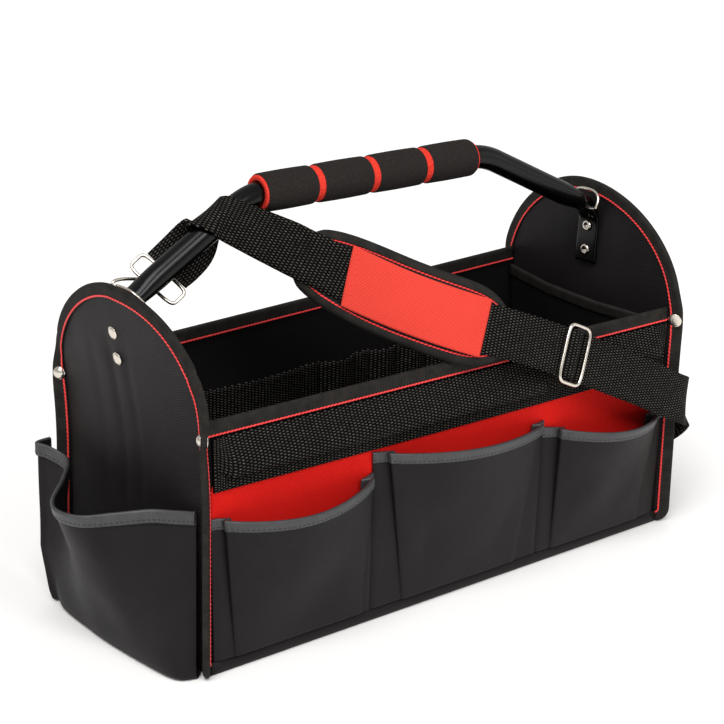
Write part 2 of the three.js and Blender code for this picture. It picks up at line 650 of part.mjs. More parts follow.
const END_POCKET_COLUMNS = 14;
const END_POCKET_ROWS = END_POCKET_PROFILE.length - 1;
function endPocketSurface() {
  const end = ENDS.left;
  return (u, v) => {
    const row = rowAt(END_POCKET, u);
    const shape = rowAt(END_POCKET_PROFILE, v);
    const z = shape.rise * row.mouthZ;
    const draw = lerp(row.low, 1, Math.min(1, z / END_POCKET_DRAWN) ** 0.8);
    const out = lerp(row.footOut, row.mouthOut, shape.swell) * Math.max(0, shape.tuck) * draw;
    const drawnIn = lerp(0.94, 1, Math.min(1, Math.max(0, shape.tuck)));
    const y = lerp(row.footY, row.mouthY, shape.swell) * drawnIn;
    return vec(postAt(end.front, z).x + end.sign * (GAP * 2 + Math.max(0, out)), y, z);
  };
}

function innerPocketSurface(end, stand) {
  const sideGap = CLOTH + TAPE + 2;
  return (uPlace, rowPlace) => {
    const u = end.sign < 0 ? uPlace : 1 - uPlace;
    const v = evenly(INNER_POCKET_ROWS, rowPlace);
    const z = lerp(INNER_POCKET_FOOT, INNER_POCKET_MOUTH, v);
    const y = lerp(postAt(end.front, z).y + sideGap, postAt(end.back, z).y - sideGap, u);
    const arc = Math.sin(Math.PI * u);
    const mouth = lerp(stand.front, stand.back, u) + (stand.middle - (stand.front + stand.back) / 2) * arc;
    const along = (y - postAt(end.front, z).y) / (postAt(end.back, z).y - postAt(end.front, z).y);
    const inside = endFrame(end, { fin: 0, along }, z).point.x - end.sign * PANEL;
    return vec(inside - end.sign * (GAP + lerp(INNER_POCKET_FOOT_OUT, mouth, v)), y, z);
  };
}

function loopStrip() {
  const surface = (u, v) => {
    const place = Math.min(0.999999, u) * (LOOPS.length - 1);
    const index = Math.floor(place);
    const part = place - index;
    const x = lerp(LOOPS[index].x, LOOPS[index + 1].x, part);
    const out = LOOP_STRIP.out + LOOPS[index].depth * Math.sin(Math.PI * part) ** 0.8;
    return wallFace(WALLS.back, x, lerp(LOOP_STRIP.foot, LOOP_STRIP.top, v), -CLOTH - out);
  };
  const stepsPerLoop = 3;
  const steps = stepsPerLoop * (LOOPS.length - 1);
  return bentSheet(steps, 1, clothPlace(surface, steps, 1, WEBBING));
}

// Handle

/** The inner face of an end panel at a height, where the handle meets it. */
function panelInside(end, z) {
  const front = postAt(end.front, z);
  const back = postAt(end.back, z);
  const along = (handleY(front.x) - front.y) / (back.y - front.y);
  return endFrame(end, { fin: 0, along }, z).point.x - end.sign * PANEL;
}

/** The tube's y at x. */
function handleY(x) {
  return HANDLE_SKEW.middle + HANDLE_SKEW.slope * x;
}

/** A place on the tube's upper run between the bends. */
function onUpperRun(x) {
  const { left, right } = HANDLE_BENDS;
  return vec(x, handleY(x), lerp(left.z, right.z, (x - left.x) / (right.x - left.x)));
}

/** Stations of one half of the handle, from the flattened foot up to the bend. */
function handleHalf(end, bend) {
  const tabX = (z) => panelInside(end, z) - end.sign * (TAB_GAP + TAB_THICK / 2);
  const neckX = tabX(TAB_TOP) - end.sign * end.neckInset;
  const neckZ = TAB_TOP + NECK_RISE;
  const run = vec(bend.x - neckX, 0, bend.z - neckZ).normalize();
  const level = onUpperRun(bend.x - end.sign * BEND_RUN);
  const round = { wide: TUBE, thick: TUBE, square: 1 };
  return [
    { x: tabX(TAB_FOOT), z: TAB_FOOT, wide: TAB_WIDE, thick: TAB_THICK, square: 0.45 },
    { x: tabX(TAB_TOP), z: TAB_TOP, wide: TAB_WIDE, thick: TAB_THICK, square: 0.45 },
    { x: lerp(tabX(TAB_TOP), neckX, 0.4), z: lerp(TAB_TOP, neckZ, 0.55), wide: 21, thick: 9, square: 0.8 },
    { x: neckX, z: neckZ, ...round },
    { x: bend.x - run.x * BEND_RUN, z: bend.z - run.z * BEND_RUN, ...round },
    { x: bend.x - end.sign * BEND_RUN * 0.1, z: bend.z - 0.9, ...round },
    { x: level.x, z: level.z, ...round },
  ];
}

const HANDLE_STATIONS = [
  ...handleHalf(ENDS.left, HANDLE_BENDS.left),
  ...handleHalf(ENDS.right, HANDLE_BENDS.right).reverse(),
];

function handleTube() {
  const last = HANDLE_STATIONS.length - 1;
  const sides = 12;
  const stock = new THREE.CylinderGeometry(1, 1, 1, sides, last);
  return reshaped(stock, (x, y, z) => {
    const index = Math.round((0.5 - y) * last);
    const here = HANDLE_STATIONS[index];
    const before = HANDLE_STATIONS[Math.max(0, index - 1)];
    const after = HANDLE_STATIONS[Math.min(last, index + 1)];
    const along = vec(after.x - before.x, 0, after.z - before.z).normalize();
    const up = vec(-along.z, 0, along.x);
    const push = (c) => Math.sign(c) * Math.abs(c) ** here.square;
    const centre = vec(here.x, handleY(here.x) + (push(x) * here.wide) / 2, here.z);
    return centre.addScaledVector(up, (push(z) * here.thick) / 2);
  });
}

/** A ring turned about the tube's upper run between two places along X. */
function ringOnGrip(left, right, outer, bore) {
  const [inside, outside] = [bore / 2, outer / 2];
  const half = (right - left) / 2;
  const profile = [[inside, -half], [outside, -half], [outside, half], [inside, half], [inside, -half]];
  const ring = turned(profile, 16);
  const along = onUpperRun(right).sub(onUpperRun(left)).normalize();
  ring.applyQuaternion(new THREE.Quaternion().setFromUnitVectors(vec(0, 1, 0), along));
  const middle = onUpperRun((left + right) / 2);
  return ring.translate(middle.x, middle.y, middle.z);
}

function gripSleeves() {
  const length = GRIP.right - GRIP.left - 2 * GRIP.endBare;
  const pitch = (length + GRIP.groove) / GRIP.sleeves;
  return Array.from({ length: GRIP.sleeves }, (_, i) => {
    const left = GRIP.left + GRIP.endBare + i * pitch;
    return ringOnGrip(left, left + pitch - GRIP.groove, GRIP.sleeve, GRIP.core + 3 * GAP);
  });
}

// Fastenings

/** The holes of the handle's rivets in one end: the middle of the panel's outer face, and the way out. */
function handleRivetHoles(end) {
  return Object.entries(HANDLE_RIVET_HEIGHTS).map(([name, z]) => {
    const x = panelInside(end, z) + end.sign * PANEL;
    const rise = 1;
    const slope = panelInside(end, z + rise) - panelInside(end, z - rise);
    const axis = vec(end.sign, 0, (-end.sign * slope) / (2 * rise)).normalize();
    return { name, at: vec(x, handleY(x), z), axis };
  });
}

/** The rivet holes through the seam flanges of one end, at the height of the long walls' tops. */
function cornerRivetHoles(end) {
  return [['front', -1], ['back', 1]].map(([name, side]) => {
    const column = { fin: side * 0.52, along: side < 0 ? 0 : 1 };
    const { point, normal } = endFrame(end, column, CORNER_RIVET_HEIGHT);
    return { name, at: point, axis: normal };
  });
}

/** A rivet with its domed head outside, its shank through the layers and a flat tail inside. */
function rivet(hole, layers, lift) {
  const head = RIVET.head / 2;
  const tail = RIVET.tail / 2;
  const shank = RIVET.shank / 2;
  const depth = -layers - GAP;
  const profile = [
    [0, lift + RIVET.dome], [head, lift], [shank, lift],
    [shank, depth], [tail, depth], [tail, depth - RIVET.tailThick], [0, depth - RIVET.tailThick],
  ];
  const body = turned(profile, 8);
  body.applyQuaternion(new THREE.Quaternion().setFromUnitVectors(vec(0, 1, 0), hole.axis));
  return body.translate(hole.at.x, hole.at.y, hole.at.z);
}

/** The frame of the D ring at an end: its bar runs across the tube, and it leans towards the end. */
function dRingFrame(end) {
  const half = HANDLE_STATIONS.filter((row) => Math.sign(row.x) === end.sign && row.square === 1);
  const [neck, bend] = half.sort((a, b) => end.sign * (b.x - a.x));
  const along = vec(bend.x - neck.x, 0, bend.z - neck.z).normalize();
  const share = (end.sign * end.ringAt - neck.x) / (bend.x - neck.x);
  const at = vec(end.sign * end.ringAt, handleY(end.sign * end.ringAt), lerp(neck.z, bend.z, share));
  const upright = vec(end.sign * along.z, 0, Math.abs(along.x));
  const [cos, sin] = [Math.cos(end.ringLean), Math.sin(end.ringLean)];
  const up = upright.clone().multiplyScalar(cos).addScaledVector(along, -sin);
  const normal = along.clone().multiplyScalar(cos).addScaledVector(upright, sin);
  return { at, across: vec(0, 1, 0), up, normal };
}

/** The middle line of the D ring at an end, angle by angle. */
function dRingOutline(end) {
  const [round, flat] = [0.75, 0.3];
  return (angle) => {
    const [cos, sin] = [Math.cos(angle), Math.sin(angle)];
    const y = sin >= 0 ? end.ringAbove * sin ** round : -D_RING.below * Math.abs(sin) ** flat;
    return { x: D_RING.half * Math.sign(cos) * Math.abs(cos) ** round, y };
  };
}

function dRing(end) {
  return wireLoop(dRingOutline(end), D_RING.wire, dRingFrame(end));
}

/** The bore through the tube that the D ring's bar runs in. */
function dRingBore(end) {
  const { at, across, up } = dRingFrame(end);
  return { at: at.addScaledVector(up, -D_RING.below), axis: across };
}

/** A place on the D ring's wire. */
function onDRing(end, angle) {
  const { at, across, up } = dRingFrame(end);
  const { x, y } = dRingOutline(end)(angle);
  return at.addScaledVector(across, x).addScaledVector(up, y);
}

// Strap

const STRAP_POINTS = STRAP.map(({ x, y, z }) => vec(x, y, z));
const STRAP_CURVE = new THREE.CatmullRomCurve3(STRAP_POINTS, false, 'centripetal');

/** The strap's middle, its way across and its outward normal at t from 0 to 1. */
function strapFrame(t) {
  const row = rowAt(STRAP, t);
  const at = STRAP_CURVE.getPoint(t);
  const along = STRAP_CURVE.getTangent(t);
  const across = vec(row.ax, row.ay, row.az);
  across.addScaledVector(along, -across.dot(along)).normalize();
  return { at, along, across, normal: along.clone().cross(across) };
}

/** Cloth lying on the strap between two of its steps, standing off by a distance on its outer side. */
function strapLayer(fromStep, toStep, wide, place) {
  return bentSheet(toStep - fromStep, place.rows, (u, v, w) => {
    const frame = strapFrame(lerp(fromStep, toStep, u) / STRAP_STEPS);
    const off = place.off(u, v, w);
    return frame.at
      .addScaledVector(frame.across, (v - 0.5) * wide * place.taper(u))
      .addScaledVector(frame.normal, off);
  });
}

const even = () => 1;
function shoulderStrap() {
  const off = (u, v, w) => (w - 0.5) * WEBBING;
  return strapLayer(0, STRAP_STEPS, STRAP_WIDE, { rows: 2, taper: even, off });
}

function strapPad() {
  const rounded = (u) => 0.54 + 0.46 * (1 - Math.abs(2 * u - 1) ** 4);
  return strapLayer(PAD.fromStep, PAD.toStep, PAD.wide, {
    rows: 4,
    taper: rounded,
    off: (u, v, w) => {
      const crown = 1 - 0.45 * Math.abs(2 * v - 1) ** 3;
      return -WEBBING / 2 - STRAP_GAP - w * PAD.thick * crown;
    },
  });
}

function padPatch() {
  return strapLayer(PATCH.fromStep, PATCH.toStep, PATCH.wide, {
    rows: 2,
    taper: even,
    off: (u, v, w) => WEBBING / 2 + STRAP_GAP + w * PATCH.thick,
  });
}

/** A wire rectangle in the plane of the strap at t, moved along it and off its outer face. */
function strapWire(t, size, ahead, off) {
  const { at, along, across, normal } = strapFrame(t);
  const middle = at.addScaledVector(along, ahead).addScaledVector(normal, off);
  const outline = roundedRectangle(size.long, size.short);
  return wireLoop(outline, size.wire, { at: middle, across, up: along, normal });
}

/** The bar of an end ring that lies away from the strap: its middle, and the strap's frame there. */
function outerBar(t, way) {
  const frame = strapFrame(t);
  const reach = STRAP_RING.short + STRAP_RING.wire / 2 + GAP;
  return { ...frame, at: frame.at.addScaledVector(frame.along, way * reach) };
}

/** An oval hook closed round two places, lying square to the given direction. */
function hookBetween(from, to, square) {
  const along = to.clone().sub(from);
  const long = along.length() + 2 * HOOK.reach;
  along.normalize();
  const normal = square.clone().addScaledVector(along, -square.dot(along)).normalize();
  const oval = (angle) => {
    const push = (c) => Math.sign(c) * Math.abs(c) ** 0.6;
    return { x: (push(Math.cos(angle)) * long) / 2, y: (push(Math.sin(angle)) * HOOK.short) / 2 };
  };
  const middle = from.clone().lerp(to, 0.5);
  return wireLoop(oval, HOOK.wire, { at: middle, across: along, up: normal.clone().cross(along), normal });
}

// The assembly

const bag = new THREE.Group();
function add(name, geometry, material) {
  const mesh = new THREE.Mesh(geometry, material);
  mesh.name = name;
  bag.add(mesh);
}

const HOLE = RIVET.shank / 2 + GAP;
const RIVET_GAP = 1; // air under a rivet's head, where the cloth isn't flat
const FLANGE_LIFT = FLANGE_TAPE_GAP + TAPE + RIVET_GAP;
const handleHoles = { left: handleRivetHoles(ENDS.left), right: handleRivetHoles(ENDS.right) };
const cornerHoles = { left: cornerRivetHoles(ENDS.left), right: cornerRivetHoles(ENDS.right) };

add('base_panel', basePanel(), BLACK_CLOTH);
for (const [name, wall] of Object.entries(WALLS)) {
  add(`${name}_wall`, bentSheet(WALL_STEPS, WALL_ROWS.length - 1, wallPlace(wall)), BLACK_CLOTH);
  add(`${name}_top_binding`, longWallTape(wall), BLACK_TAPE);
}
for (const [name, end] of Object.entries(ENDS)) {
  const holes = [...handleHoles[name], ...cornerHoles[name]];
  add(`${name}_end_panel`, drilled(endPanel(end), holes, HOLE), BLACK_CLOTH);
  add(`${name}_end_binding`, drilled(endTape(end), cornerHoles[name], HOLE), BLACK_TAPE);
  for (const hole of handleHoles[name]) {
    add(`handle_rivet_${name}_${hole.name}`, rivet(hole, PANEL + TAB_GAP + TAB_THICK, RIVET_GAP), NICKEL);
  }
  for (const hole of cornerHoles[name]) {
    add(`corner_rivet_${name}_${hole.name}`, rivet(hole, PANEL + FLANGE_LIFT, FLANGE_LIFT), NICKEL);
  }
  const inner = clothPlace(innerPocketSurface(end, INNER_POCKETS[name]), 8, 3, POCKET_CLOTH);
  add(`${name}_inner_pocket`, bentSheet(8, INNER_POCKET_ROWS.length - 1, inner), BLACK_CLOTH);
  add(`${name}_inner_pocket_binding`, mouthTape(inner, 8, INNER_POCKET_ROWS.length - 1), BLACK_TAPE);
  add(`d_ring_${name}`, dRing(end), NICKEL);
}

add('front_red_panel', redPanel(), RED_FABRIC);
add('front_web_band', webBand(), BLACK_WEBBING);
for (const pocket of FRONT_POCKETS) {
  const place = clothPlace(frontPocketSurface(pocket), POCKET_COLUMNS, POCKET_STEPS, POCKET_CLOTH);
  add(`front_pocket_${pocket.name}`, bentSheet(POCKET_COLUMNS, POCKET_STEPS, place), BLACK_CLOTH);
  add(`front_pocket_${pocket.name}_binding`, mouthTape(place, POCKET_COLUMNS, POCKET_STEPS), GREY_TAPE);
}
const endPocket = clothPlace(endPocketSurface(), END_POCKET_COLUMNS, END_POCKET_ROWS, POCKET_CLOTH);
add('left_end_pocket', bentSheet(END_POCKET_COLUMNS, END_POCKET_ROWS, endPocket), BLACK_CLOTH);
add('left_end_pocket_binding', mouthTape(endPocket, END_POCKET_COLUMNS, END_POCKET_ROWS), GREY_TAPE);
add('inner_loop_strip', loopStrip(), BLACK_WEBBING);

const tubeHoles = [...handleHoles.left, ...handleHoles.right];
const ringBores = Object.values(ENDS).map(dRingBore);
const riveted = drilled(handleTube(), tubeHoles, HOLE);
add('handle_tube', drilled(riveted, ringBores, D_RING.bore / 2), BLACK_PAINT);
add('grip_core', ringOnGrip(GRIP.left, GRIP.right, GRIP.core, GRIP.bore), RED_FOAM);
gripSleeves().forEach((sleeve, i) => add(`grip_sleeve_${i + 1}`, sleeve, BLACK_FOAM));

add('shoulder_strap', shoulderStrap(), BLACK_WEBBING);
add('strap_pad', strapPad(), BLACK_CLOTH);
add('strap_pad_patch', padPatch(), RED_FABRIC);
add('strap_slider', strapWire(SLIDER.at, SLIDER, 0, WEBBING / 2 + STRAP_GAP + SLIDER.wire / 2), NICKEL);
const ringOff = STRAP_RING.short / 2 + STRAP_RING.wire / 2 + GAP;
add('strap_ring_left', strapWire(0, STRAP_RING, -ringOff, 0), NICKEL);
add('strap_ring_right', strapWire(1, STRAP_RING, ringOff, 0), NICKEL);
const hooked = onDRing(ENDS.left, HOOKED_AT);
const leftBar = outerBar(0, -1);
const rightBar = outerBar(1, 1);
const freeEnd = rightBar.at.clone().addScaledVector(rightBar.along, FREE_HOOK);
add('strap_hook_left', hookBetween(hooked, leftBar.at, vec(0, 1, 0)), NICKEL);
add('strap_hook_right', hookBetween(rightBar.at, freeEnd, rightBar.across), NICKEL);

export default bag;
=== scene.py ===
"""The looks of an open tool bag with a tube handle and a shoulder strap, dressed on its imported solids.

Sizes are in millimetres and meshes in metres, in the solids' own frame: +Z up, +X along the bag to
the right, and the front with its three pockets facing -Y.
"""

import logging
import math
from dataclasses import dataclass
from enum import Enum
from typing import Callable, Sequence

import bmesh
import bpy
from mathutils import Matrix, Vector, noise


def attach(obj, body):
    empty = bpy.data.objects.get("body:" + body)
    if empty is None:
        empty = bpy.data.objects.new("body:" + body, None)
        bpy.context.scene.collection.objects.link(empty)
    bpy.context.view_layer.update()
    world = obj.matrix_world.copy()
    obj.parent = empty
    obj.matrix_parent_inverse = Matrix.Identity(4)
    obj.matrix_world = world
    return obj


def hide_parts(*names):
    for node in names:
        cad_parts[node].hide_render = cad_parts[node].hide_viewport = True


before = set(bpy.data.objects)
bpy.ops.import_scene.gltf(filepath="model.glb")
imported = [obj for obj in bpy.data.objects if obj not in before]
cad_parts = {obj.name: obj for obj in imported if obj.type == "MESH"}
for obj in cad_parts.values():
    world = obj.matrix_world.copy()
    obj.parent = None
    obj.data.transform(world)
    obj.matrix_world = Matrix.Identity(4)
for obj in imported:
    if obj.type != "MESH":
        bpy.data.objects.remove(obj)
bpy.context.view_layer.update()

LOG = logging.getLogger("tool_bag")
MM = 0.001
Surface = Callable[[float, float], Vector]
Direction = Callable[[float], Vector]
Edge = tuple[Surface, Direction]
Line = Callable[[float], tuple[Vector, Vector]]
Profile = list[tuple[float, float]]
Tree = bpy.types.NodeTree
Node = bpy.types.Node
Socket = bpy.types.NodeSocket
Piece = bpy.types.Object

# Sizes that several pieces share
WALL_TOP = 189.5
FLOOR_TOP = 2.6
CLOTH = 1.6
PANEL = 2.0
POCKET_CLOTH = 1.2
WEBBING = 1.6
TAPE = 0.8
TAPE_ROOM = 0.5
GAP = 0.3


# Numbers

def lerp(a: float, b: float, t: float) -> float:
    """The value at t on the way from a to b."""
    return a + (b - a) * t


def clamp(x: float, low: float = 0.0, high: float = 1.0) -> float:
    """x held between two limits."""
    return min(high, max(low, x))


def smoothstep(x: float, low: float, high: float) -> float:
    """A soft step from 0 at low to 1 at high."""
    t = clamp((x - low) / (high - low))
    return t * t * (3 - 2 * t)


def ripple(point: Vector, size: float) -> float:
    """Soft unevenness of cloth at a place, from -1 to 1, with bumps of the given size."""
    return noise.noise(point / size)


def signed_power(x: float, power: float) -> float:
    """A power of x that keeps its sign, which squares up a circle's cosine or sine."""
    return math.copysign(abs(x) ** power, x)


def step_along(t: float, count: int) -> tuple[int, float]:
    """The step that t from 0 to 1 falls in among so many, and how far through it."""
    place = clamp(t, 0.0, 0.999999) * count
    return int(place), place - int(place)


def smooth_row(rows: Sequence[Sequence[float]], t: float) -> list[float]:
    """A row of a table, each column on a smooth curve through its values.

    Args:
        rows: The table.
        t: The place along it, from 0 to 1.

    Returns:
        The columns' values there.
    """
    i, f = step_along(t, len(rows) - 1)
    before, after = rows[max(0, i - 1)], rows[min(len(rows) - 1, i + 2)]
    row = []
    for p, q, earlier, later in zip(rows[i], rows[i + 1], before, after):
        start, stop = (q - earlier) / 2, (later - p) / 2
        second = 3 * (q - p) - 2 * start - stop
        third = 2 * (p - q) + start + stop
        row.append(p + f * (start + f * (second + f * third)))
    return row


# Finishes

class Slot(Enum):
    """The record's material slots."""

    BLACK_CLOTH = "black_polyester"
    RED_CLOTH = "red_polyester"
    BLACK_TAPE = "black_binding"
    GREY_TAPE = "grey_binding"
    WEBBING = "black_webbing"
    PAINT = "black_paint"
    BLACK_FOAM = "black_foam"
    RED_FOAM = "red_foam"
    NICKEL = "nickel"


def linear(code: str) -> tuple[float, float, float, float]:
    """A colour for a shader.

    Args:
        code: The colour as an sRGB hex code.

    Returns:
        Its linear red, green and blue, and a full alpha.
    """
    parts = [int(code[i:i + 2], 16) / 255 for i in (1, 3, 5)]
    red, green, blue = (c / 12.92 if c <= 0.04045 else ((c + 0.055) / 1.055) ** 2.4 for c in parts)
    return red, green, blue, 1.0


def add_node(tree: Tree, kind: str, inputs: dict | None = None, **settings) -> Node:
    """Adds a node to a material.

    Args:
        tree: The material's nodes.
        kind: The node's type.
        inputs: What its inputs get, by name or number: a value, a socket, or a node for its first output.
        **settings: The node's own settings.

    Returns:
        The node.
    """
    node = tree.nodes.new(kind)
    for key, value in settings.items():
        setattr(node, key, value)
    for key, value in (inputs or {}).items():
        source = value.outputs[0] if isinstance(value, Node) else value
        if isinstance(source, Socket):
            tree.links.new(source, node.inputs[key])
        else:
            node.inputs[key].default_value = source
    return node


@dataclass(frozen=True)
class Finish:
    """A material of the bag, the record's slot that it stands for, and how it takes the light.

    The patch that most finishes have is the size of their unevenness.
    """

    name: str
    slot: Slot
    roughness: float
    shine: float

    def paint(self, tree: Tree, shader: Node) -> None:
        """Adds the pattern of this finish to a material."""
        raise NotImplementedError

    def material(self) -> bpy.types.Material:
        """Gives the material, which is made when it is first asked for.

        Returns:
            The material.
        """
        known = bpy.data.materials.get(self.name)
        if known:
            return known
        made = bpy.data.materials.new(self.name)
        made.use_nodes = True
        shader = made.node_tree.nodes["Principled BSDF"]
        shader.inputs["Roughness"].default_value = self.roughness
        shader.inputs["Specular IOR Level"].default_value = self.shine
        self.paint(made.node_tree, shader)
        return made


@dataclass(frozen=True)
class Shaded(Finish):
    """A finish with a pattern of two shades and a relief."""

    low: str
    high: str
    relief: float

    def lay(self, tree: Tree, shader: Node, share: Node | Socket, height: Node | Socket,
            strength: float) -> None:
        """Lays the pattern on a shader.

        Args:
            tree: The material's nodes.
            shader: The material's shader.
            share: The share of the higher shade.
            height: The height of the relief, from 0 to 1.
            strength: How strongly the relief shows.
        """
        shades = {0: share, 6: linear(self.low), 7: linear(self.high)}
        colour = add_node(tree, "ShaderNodeMix", shades, data_type="RGBA")
        depth = {"Strength": strength, "Distance": self.relief * MM, "Height": height}
        bump = add_node(tree, "ShaderNodeBump", depth)
        tree.links.new(colour.outputs[2], shader.inputs["Base Color"])
        tree.links.new(bump.outputs[0], shader.inputs["Normal"])


@dataclass(frozen=True)
class WovenCloth(Shaded):
    """Plain-woven polyester: threads over and under each other, with a soft sheen on its swells."""

    thread: float
    # How strongly the colour is clouded; at the black cloth's strength the clouds are partly painted sheen
    mottle: float
    patch: float = 41.667

    def paint(self, tree: Tree, shader: Node) -> None:
        """Weaves the cloth along its own map, coarser than life so that it shows, with its dips painted
        darker as painted shade, and mottles it, which where strong is painted sheen.

        Args:
            tree: The material's nodes.
            shader: The material's shader.
        """
        places = add_node(tree, "ShaderNodeTexCoord")
        axes = add_node(tree, "ShaderNodeSeparateXYZ", {0: places.outputs["UV"]})
        pace = math.pi / (self.thread * MM)
        waves = []
        for axis in ("X", "Y"):
            turns = add_node(tree, "ShaderNodeMath", {0: axes.outputs[axis], 1: pace}, operation="MULTIPLY")
            waves.append(add_node(tree, "ShaderNodeMath", {0: turns}, operation="SINE"))
        crossed = add_node(tree, "ShaderNodeMath", {0: waves[0], 1: waves[1]}, operation="MULTIPLY")
        weave = add_node(tree, "ShaderNodeMath", {0: crossed, 1: 0.5, 2: 0.5}, operation="MULTIPLY_ADD")
        spots = {"Vector": places.outputs["Object"], "Scale": 1 / (self.patch * MM), "Detail": 6.0}
        mottle = add_node(tree, "ShaderNodeTexNoise", spots)
        # The colour's share: the weave's dips painted darker, which is painted shade, plus the mottle's
        # clouds, which where strong are painted sheen
        mixed = {0: mottle, 1: self.mottle, 2: weave}
        share = add_node(tree, "ShaderNodeMath", mixed, operation="MULTIPLY_ADD")
        limits = {0: share, 1: 0.35 * self.mottle, 2: 1 + 0.65 * self.mottle}
        spread = add_node(tree, "ShaderNodeMapRange", limits)
        self.lay(tree, shader, spread, weave, 0.6)


@dataclass(frozen=True)
class RibbedTape(Shaded):
    """Grosgrain edge tape: fine ribs across its run catch the light as thin bars."""

    rib: float
    patch: float = 8.333

    def paint(self, tree: Tree, shader: Node) -> None:
        """Draws the ribs along the tape's own map.

        Args:
            tree: The material's nodes.
            shader: The material's shader.
        """
        places = add_node(tree, "ShaderNodeTexCoord")
        axes = add_node(tree, "ShaderNodeSeparateXYZ", {0: places.outputs["UV"]})
        pace = math.pi / (self.rib * MM)
        turns = add_node(tree, "ShaderNodeMath", {0: axes.outputs["X"], 1: pace}, operation="MULTIPLY")
        wave = add_node(tree, "ShaderNodeMath", {0: turns}, operation="SINE")
        ribs = add_node(tree, "ShaderNodeMath", {0: wave}, operation="ABSOLUTE")
        spots = {"Vector": places.outputs["Object"], "Scale": 1 / (self.patch * MM)}
        mottle = add_node(tree, "ShaderNodeTexNoise", spots)
        share = add_node(tree, "ShaderNodeMath", {0: ribs, 1: mottle}, operation="MULTIPLY")
        self.lay(tree, shader, share, ribs, 0.5)


@dataclass(frozen=True)
class Webbing(Shaded):
    """Heavy webbing: ribs of short thick threads across its run, painted light on their crowns and black in
    the gaps between them, a painted highlight and a painted shade on black yarn.
    """

    thread: float
    rib: float
    gap: float
    patch: float = 3.333

    def paint(self, tree: Tree, shader: Node) -> None:
        """Draws the staggered threads along the webbing's own map, coarser than life so that they show.

        The gap between threads is the widest that the brick pattern draws, and sets the pattern's unit.

        Args:
            tree: The material's nodes.
            shader: The material's shader.
        """
        places = add_node(tree, "ShaderNodeTexCoord")
        axes = add_node(tree, "ShaderNodeSeparateXYZ", {0: places.outputs["UV"]})
        across = add_node(tree, "ShaderNodeCombineXYZ", {0: axes.outputs["Y"], 1: axes.outputs["X"]})
        widest = 0.125
        unit = self.gap / widest
        # The mortar is the gaps between the threads, painted black: painted shade
        bricks = {
            "Vector": across, "Scale": 1 / (unit * MM),
            "Brick Width": self.thread / unit, "Row Height": self.rib / unit,
            "Mortar Size": widest, "Mortar Smooth": 0.6, "Mortar": (0, 0, 0, 1),
            "Color1": (1, 1, 1, 1), "Color2": (0.6, 0.6, 0.6, 1),
        }
        threads = add_node(tree, "ShaderNodeTexBrick", bricks, offset=0.5, offset_frequency=2, squash=1.0)
        spots = {"Vector": places.outputs["Object"], "Scale": 1 / (self.patch * MM)}
        mottle = add_node(tree, "ShaderNodeTexNoise", spots)
        share = add_node(tree, "ShaderNodeMath", {0: threads, 1: mottle}, operation="MULTIPLY")
        self.lay(tree, shader, share, threads, 0.8)


@dataclass(frozen=True)
class GlossPaint(Finish):
    """Stoved black paint on steel tube: a deep gloss with faint waviness."""

    colour: str
    patch: float = 40.0

    def paint(self, tree: Tree, shader: Node) -> None:
        """Sets the colour, with a slow change of roughness along the tube.

        Args:
            tree: The material's nodes.
            shader: The material's shader.
        """
        places = add_node(tree, "ShaderNodeTexCoord")
        spots = {"Vector": places.outputs["Object"], "Scale": 1 / (self.patch * MM)}
        drift = add_node(tree, "ShaderNodeTexNoise", spots)
        limits = {0: drift, 3: self.roughness - 0.06, 4: self.roughness + 0.1}
        gloss = add_node(tree, "ShaderNodeMapRange", limits)
        shader.inputs["Base Color"].default_value = linear(self.colour)
        tree.links.new(gloss.outputs[0], shader.inputs["Roughness"])


@dataclass(frozen=True)
class Foam(Shaded):
    """Closed-cell foam: dead matt, with fine open pores on its skin."""

    pore: float

    def paint(self, tree: Tree, shader: Node) -> None:
        """Pits the skin with pores, painted darker as painted shade in the pits. They are drawn a little
        coarser than life, so that they show.

        Args:
            tree: The material's nodes.
            shader: The material's shader.
        """
        places = add_node(tree, "ShaderNodeTexCoord")
        cells = {"Vector": places.outputs["Object"], "Scale": 1 / (self.pore * MM)}
        # The same distance sets colour and relief: the pits are painted darker, which is painted shade
        pores = add_node(tree, "ShaderNodeTexVoronoi", cells).outputs["Distance"]
        self.lay(tree, shader, pores, pores, 0.35)


@dataclass(frozen=True)
class NickelPlate(Finish):
    """Bright nickel on steel wire: warm white metal with a slightly clouded polish."""

    colour: str
    patch: float = 2.5

    def paint(self, tree: Tree, shader: Node) -> None:
        """Sets the metal, clouded by a fine noise.

        Args:
            tree: The material's nodes.
            shader: The material's shader.
        """
        places = add_node(tree, "ShaderNodeTexCoord")
        spots = {"Vector": places.outputs["Object"], "Scale": 1 / (self.patch * MM)}
        cloud = add_node(tree, "ShaderNodeTexNoise", spots)
        limits = {0: cloud, 3: self.roughness - 0.08, 4: self.roughness + 0.12}
        polish = add_node(tree, "ShaderNodeMapRange", limits)
        shader.inputs["Base Color"].default_value = linear(self.colour)
        shader.inputs["Metallic"].default_value = 1.0
        tree.links.new(polish.outputs[0], shader.inputs["Roughness"])


@dataclass(frozen=True)
class Thread(Finish):
    """Twisted polyester sewing thread: soft sheen, a little uneven in colour."""

    low: str
    high: str
    patch: float = 2.0

    def paint(self, tree: Tree, shader: Node) -> None:
        """Varies the thread's colour from stitch to stitch.

        Args:
            tree: The material's nodes.
            shader: The material's shader.
        """
        places = add_node(tree, "ShaderNodeTexCoord")
        spots = {"Vector": places.outputs["Object"], "Scale": 1 / (self.patch * MM)}
        change = add_node(tree, "ShaderNodeTexNoise", spots)
        shades = {0: change, 6: linear(self.low), 7: linear(self.high)}
        colour = add_node(tree, "ShaderNodeMix", shades, data_type="RGBA")
        tree.links.new(colour.outputs[2], shader.inputs["Base Color"])
        shader.inputs["Sheen Weight"].default_value = 0.2
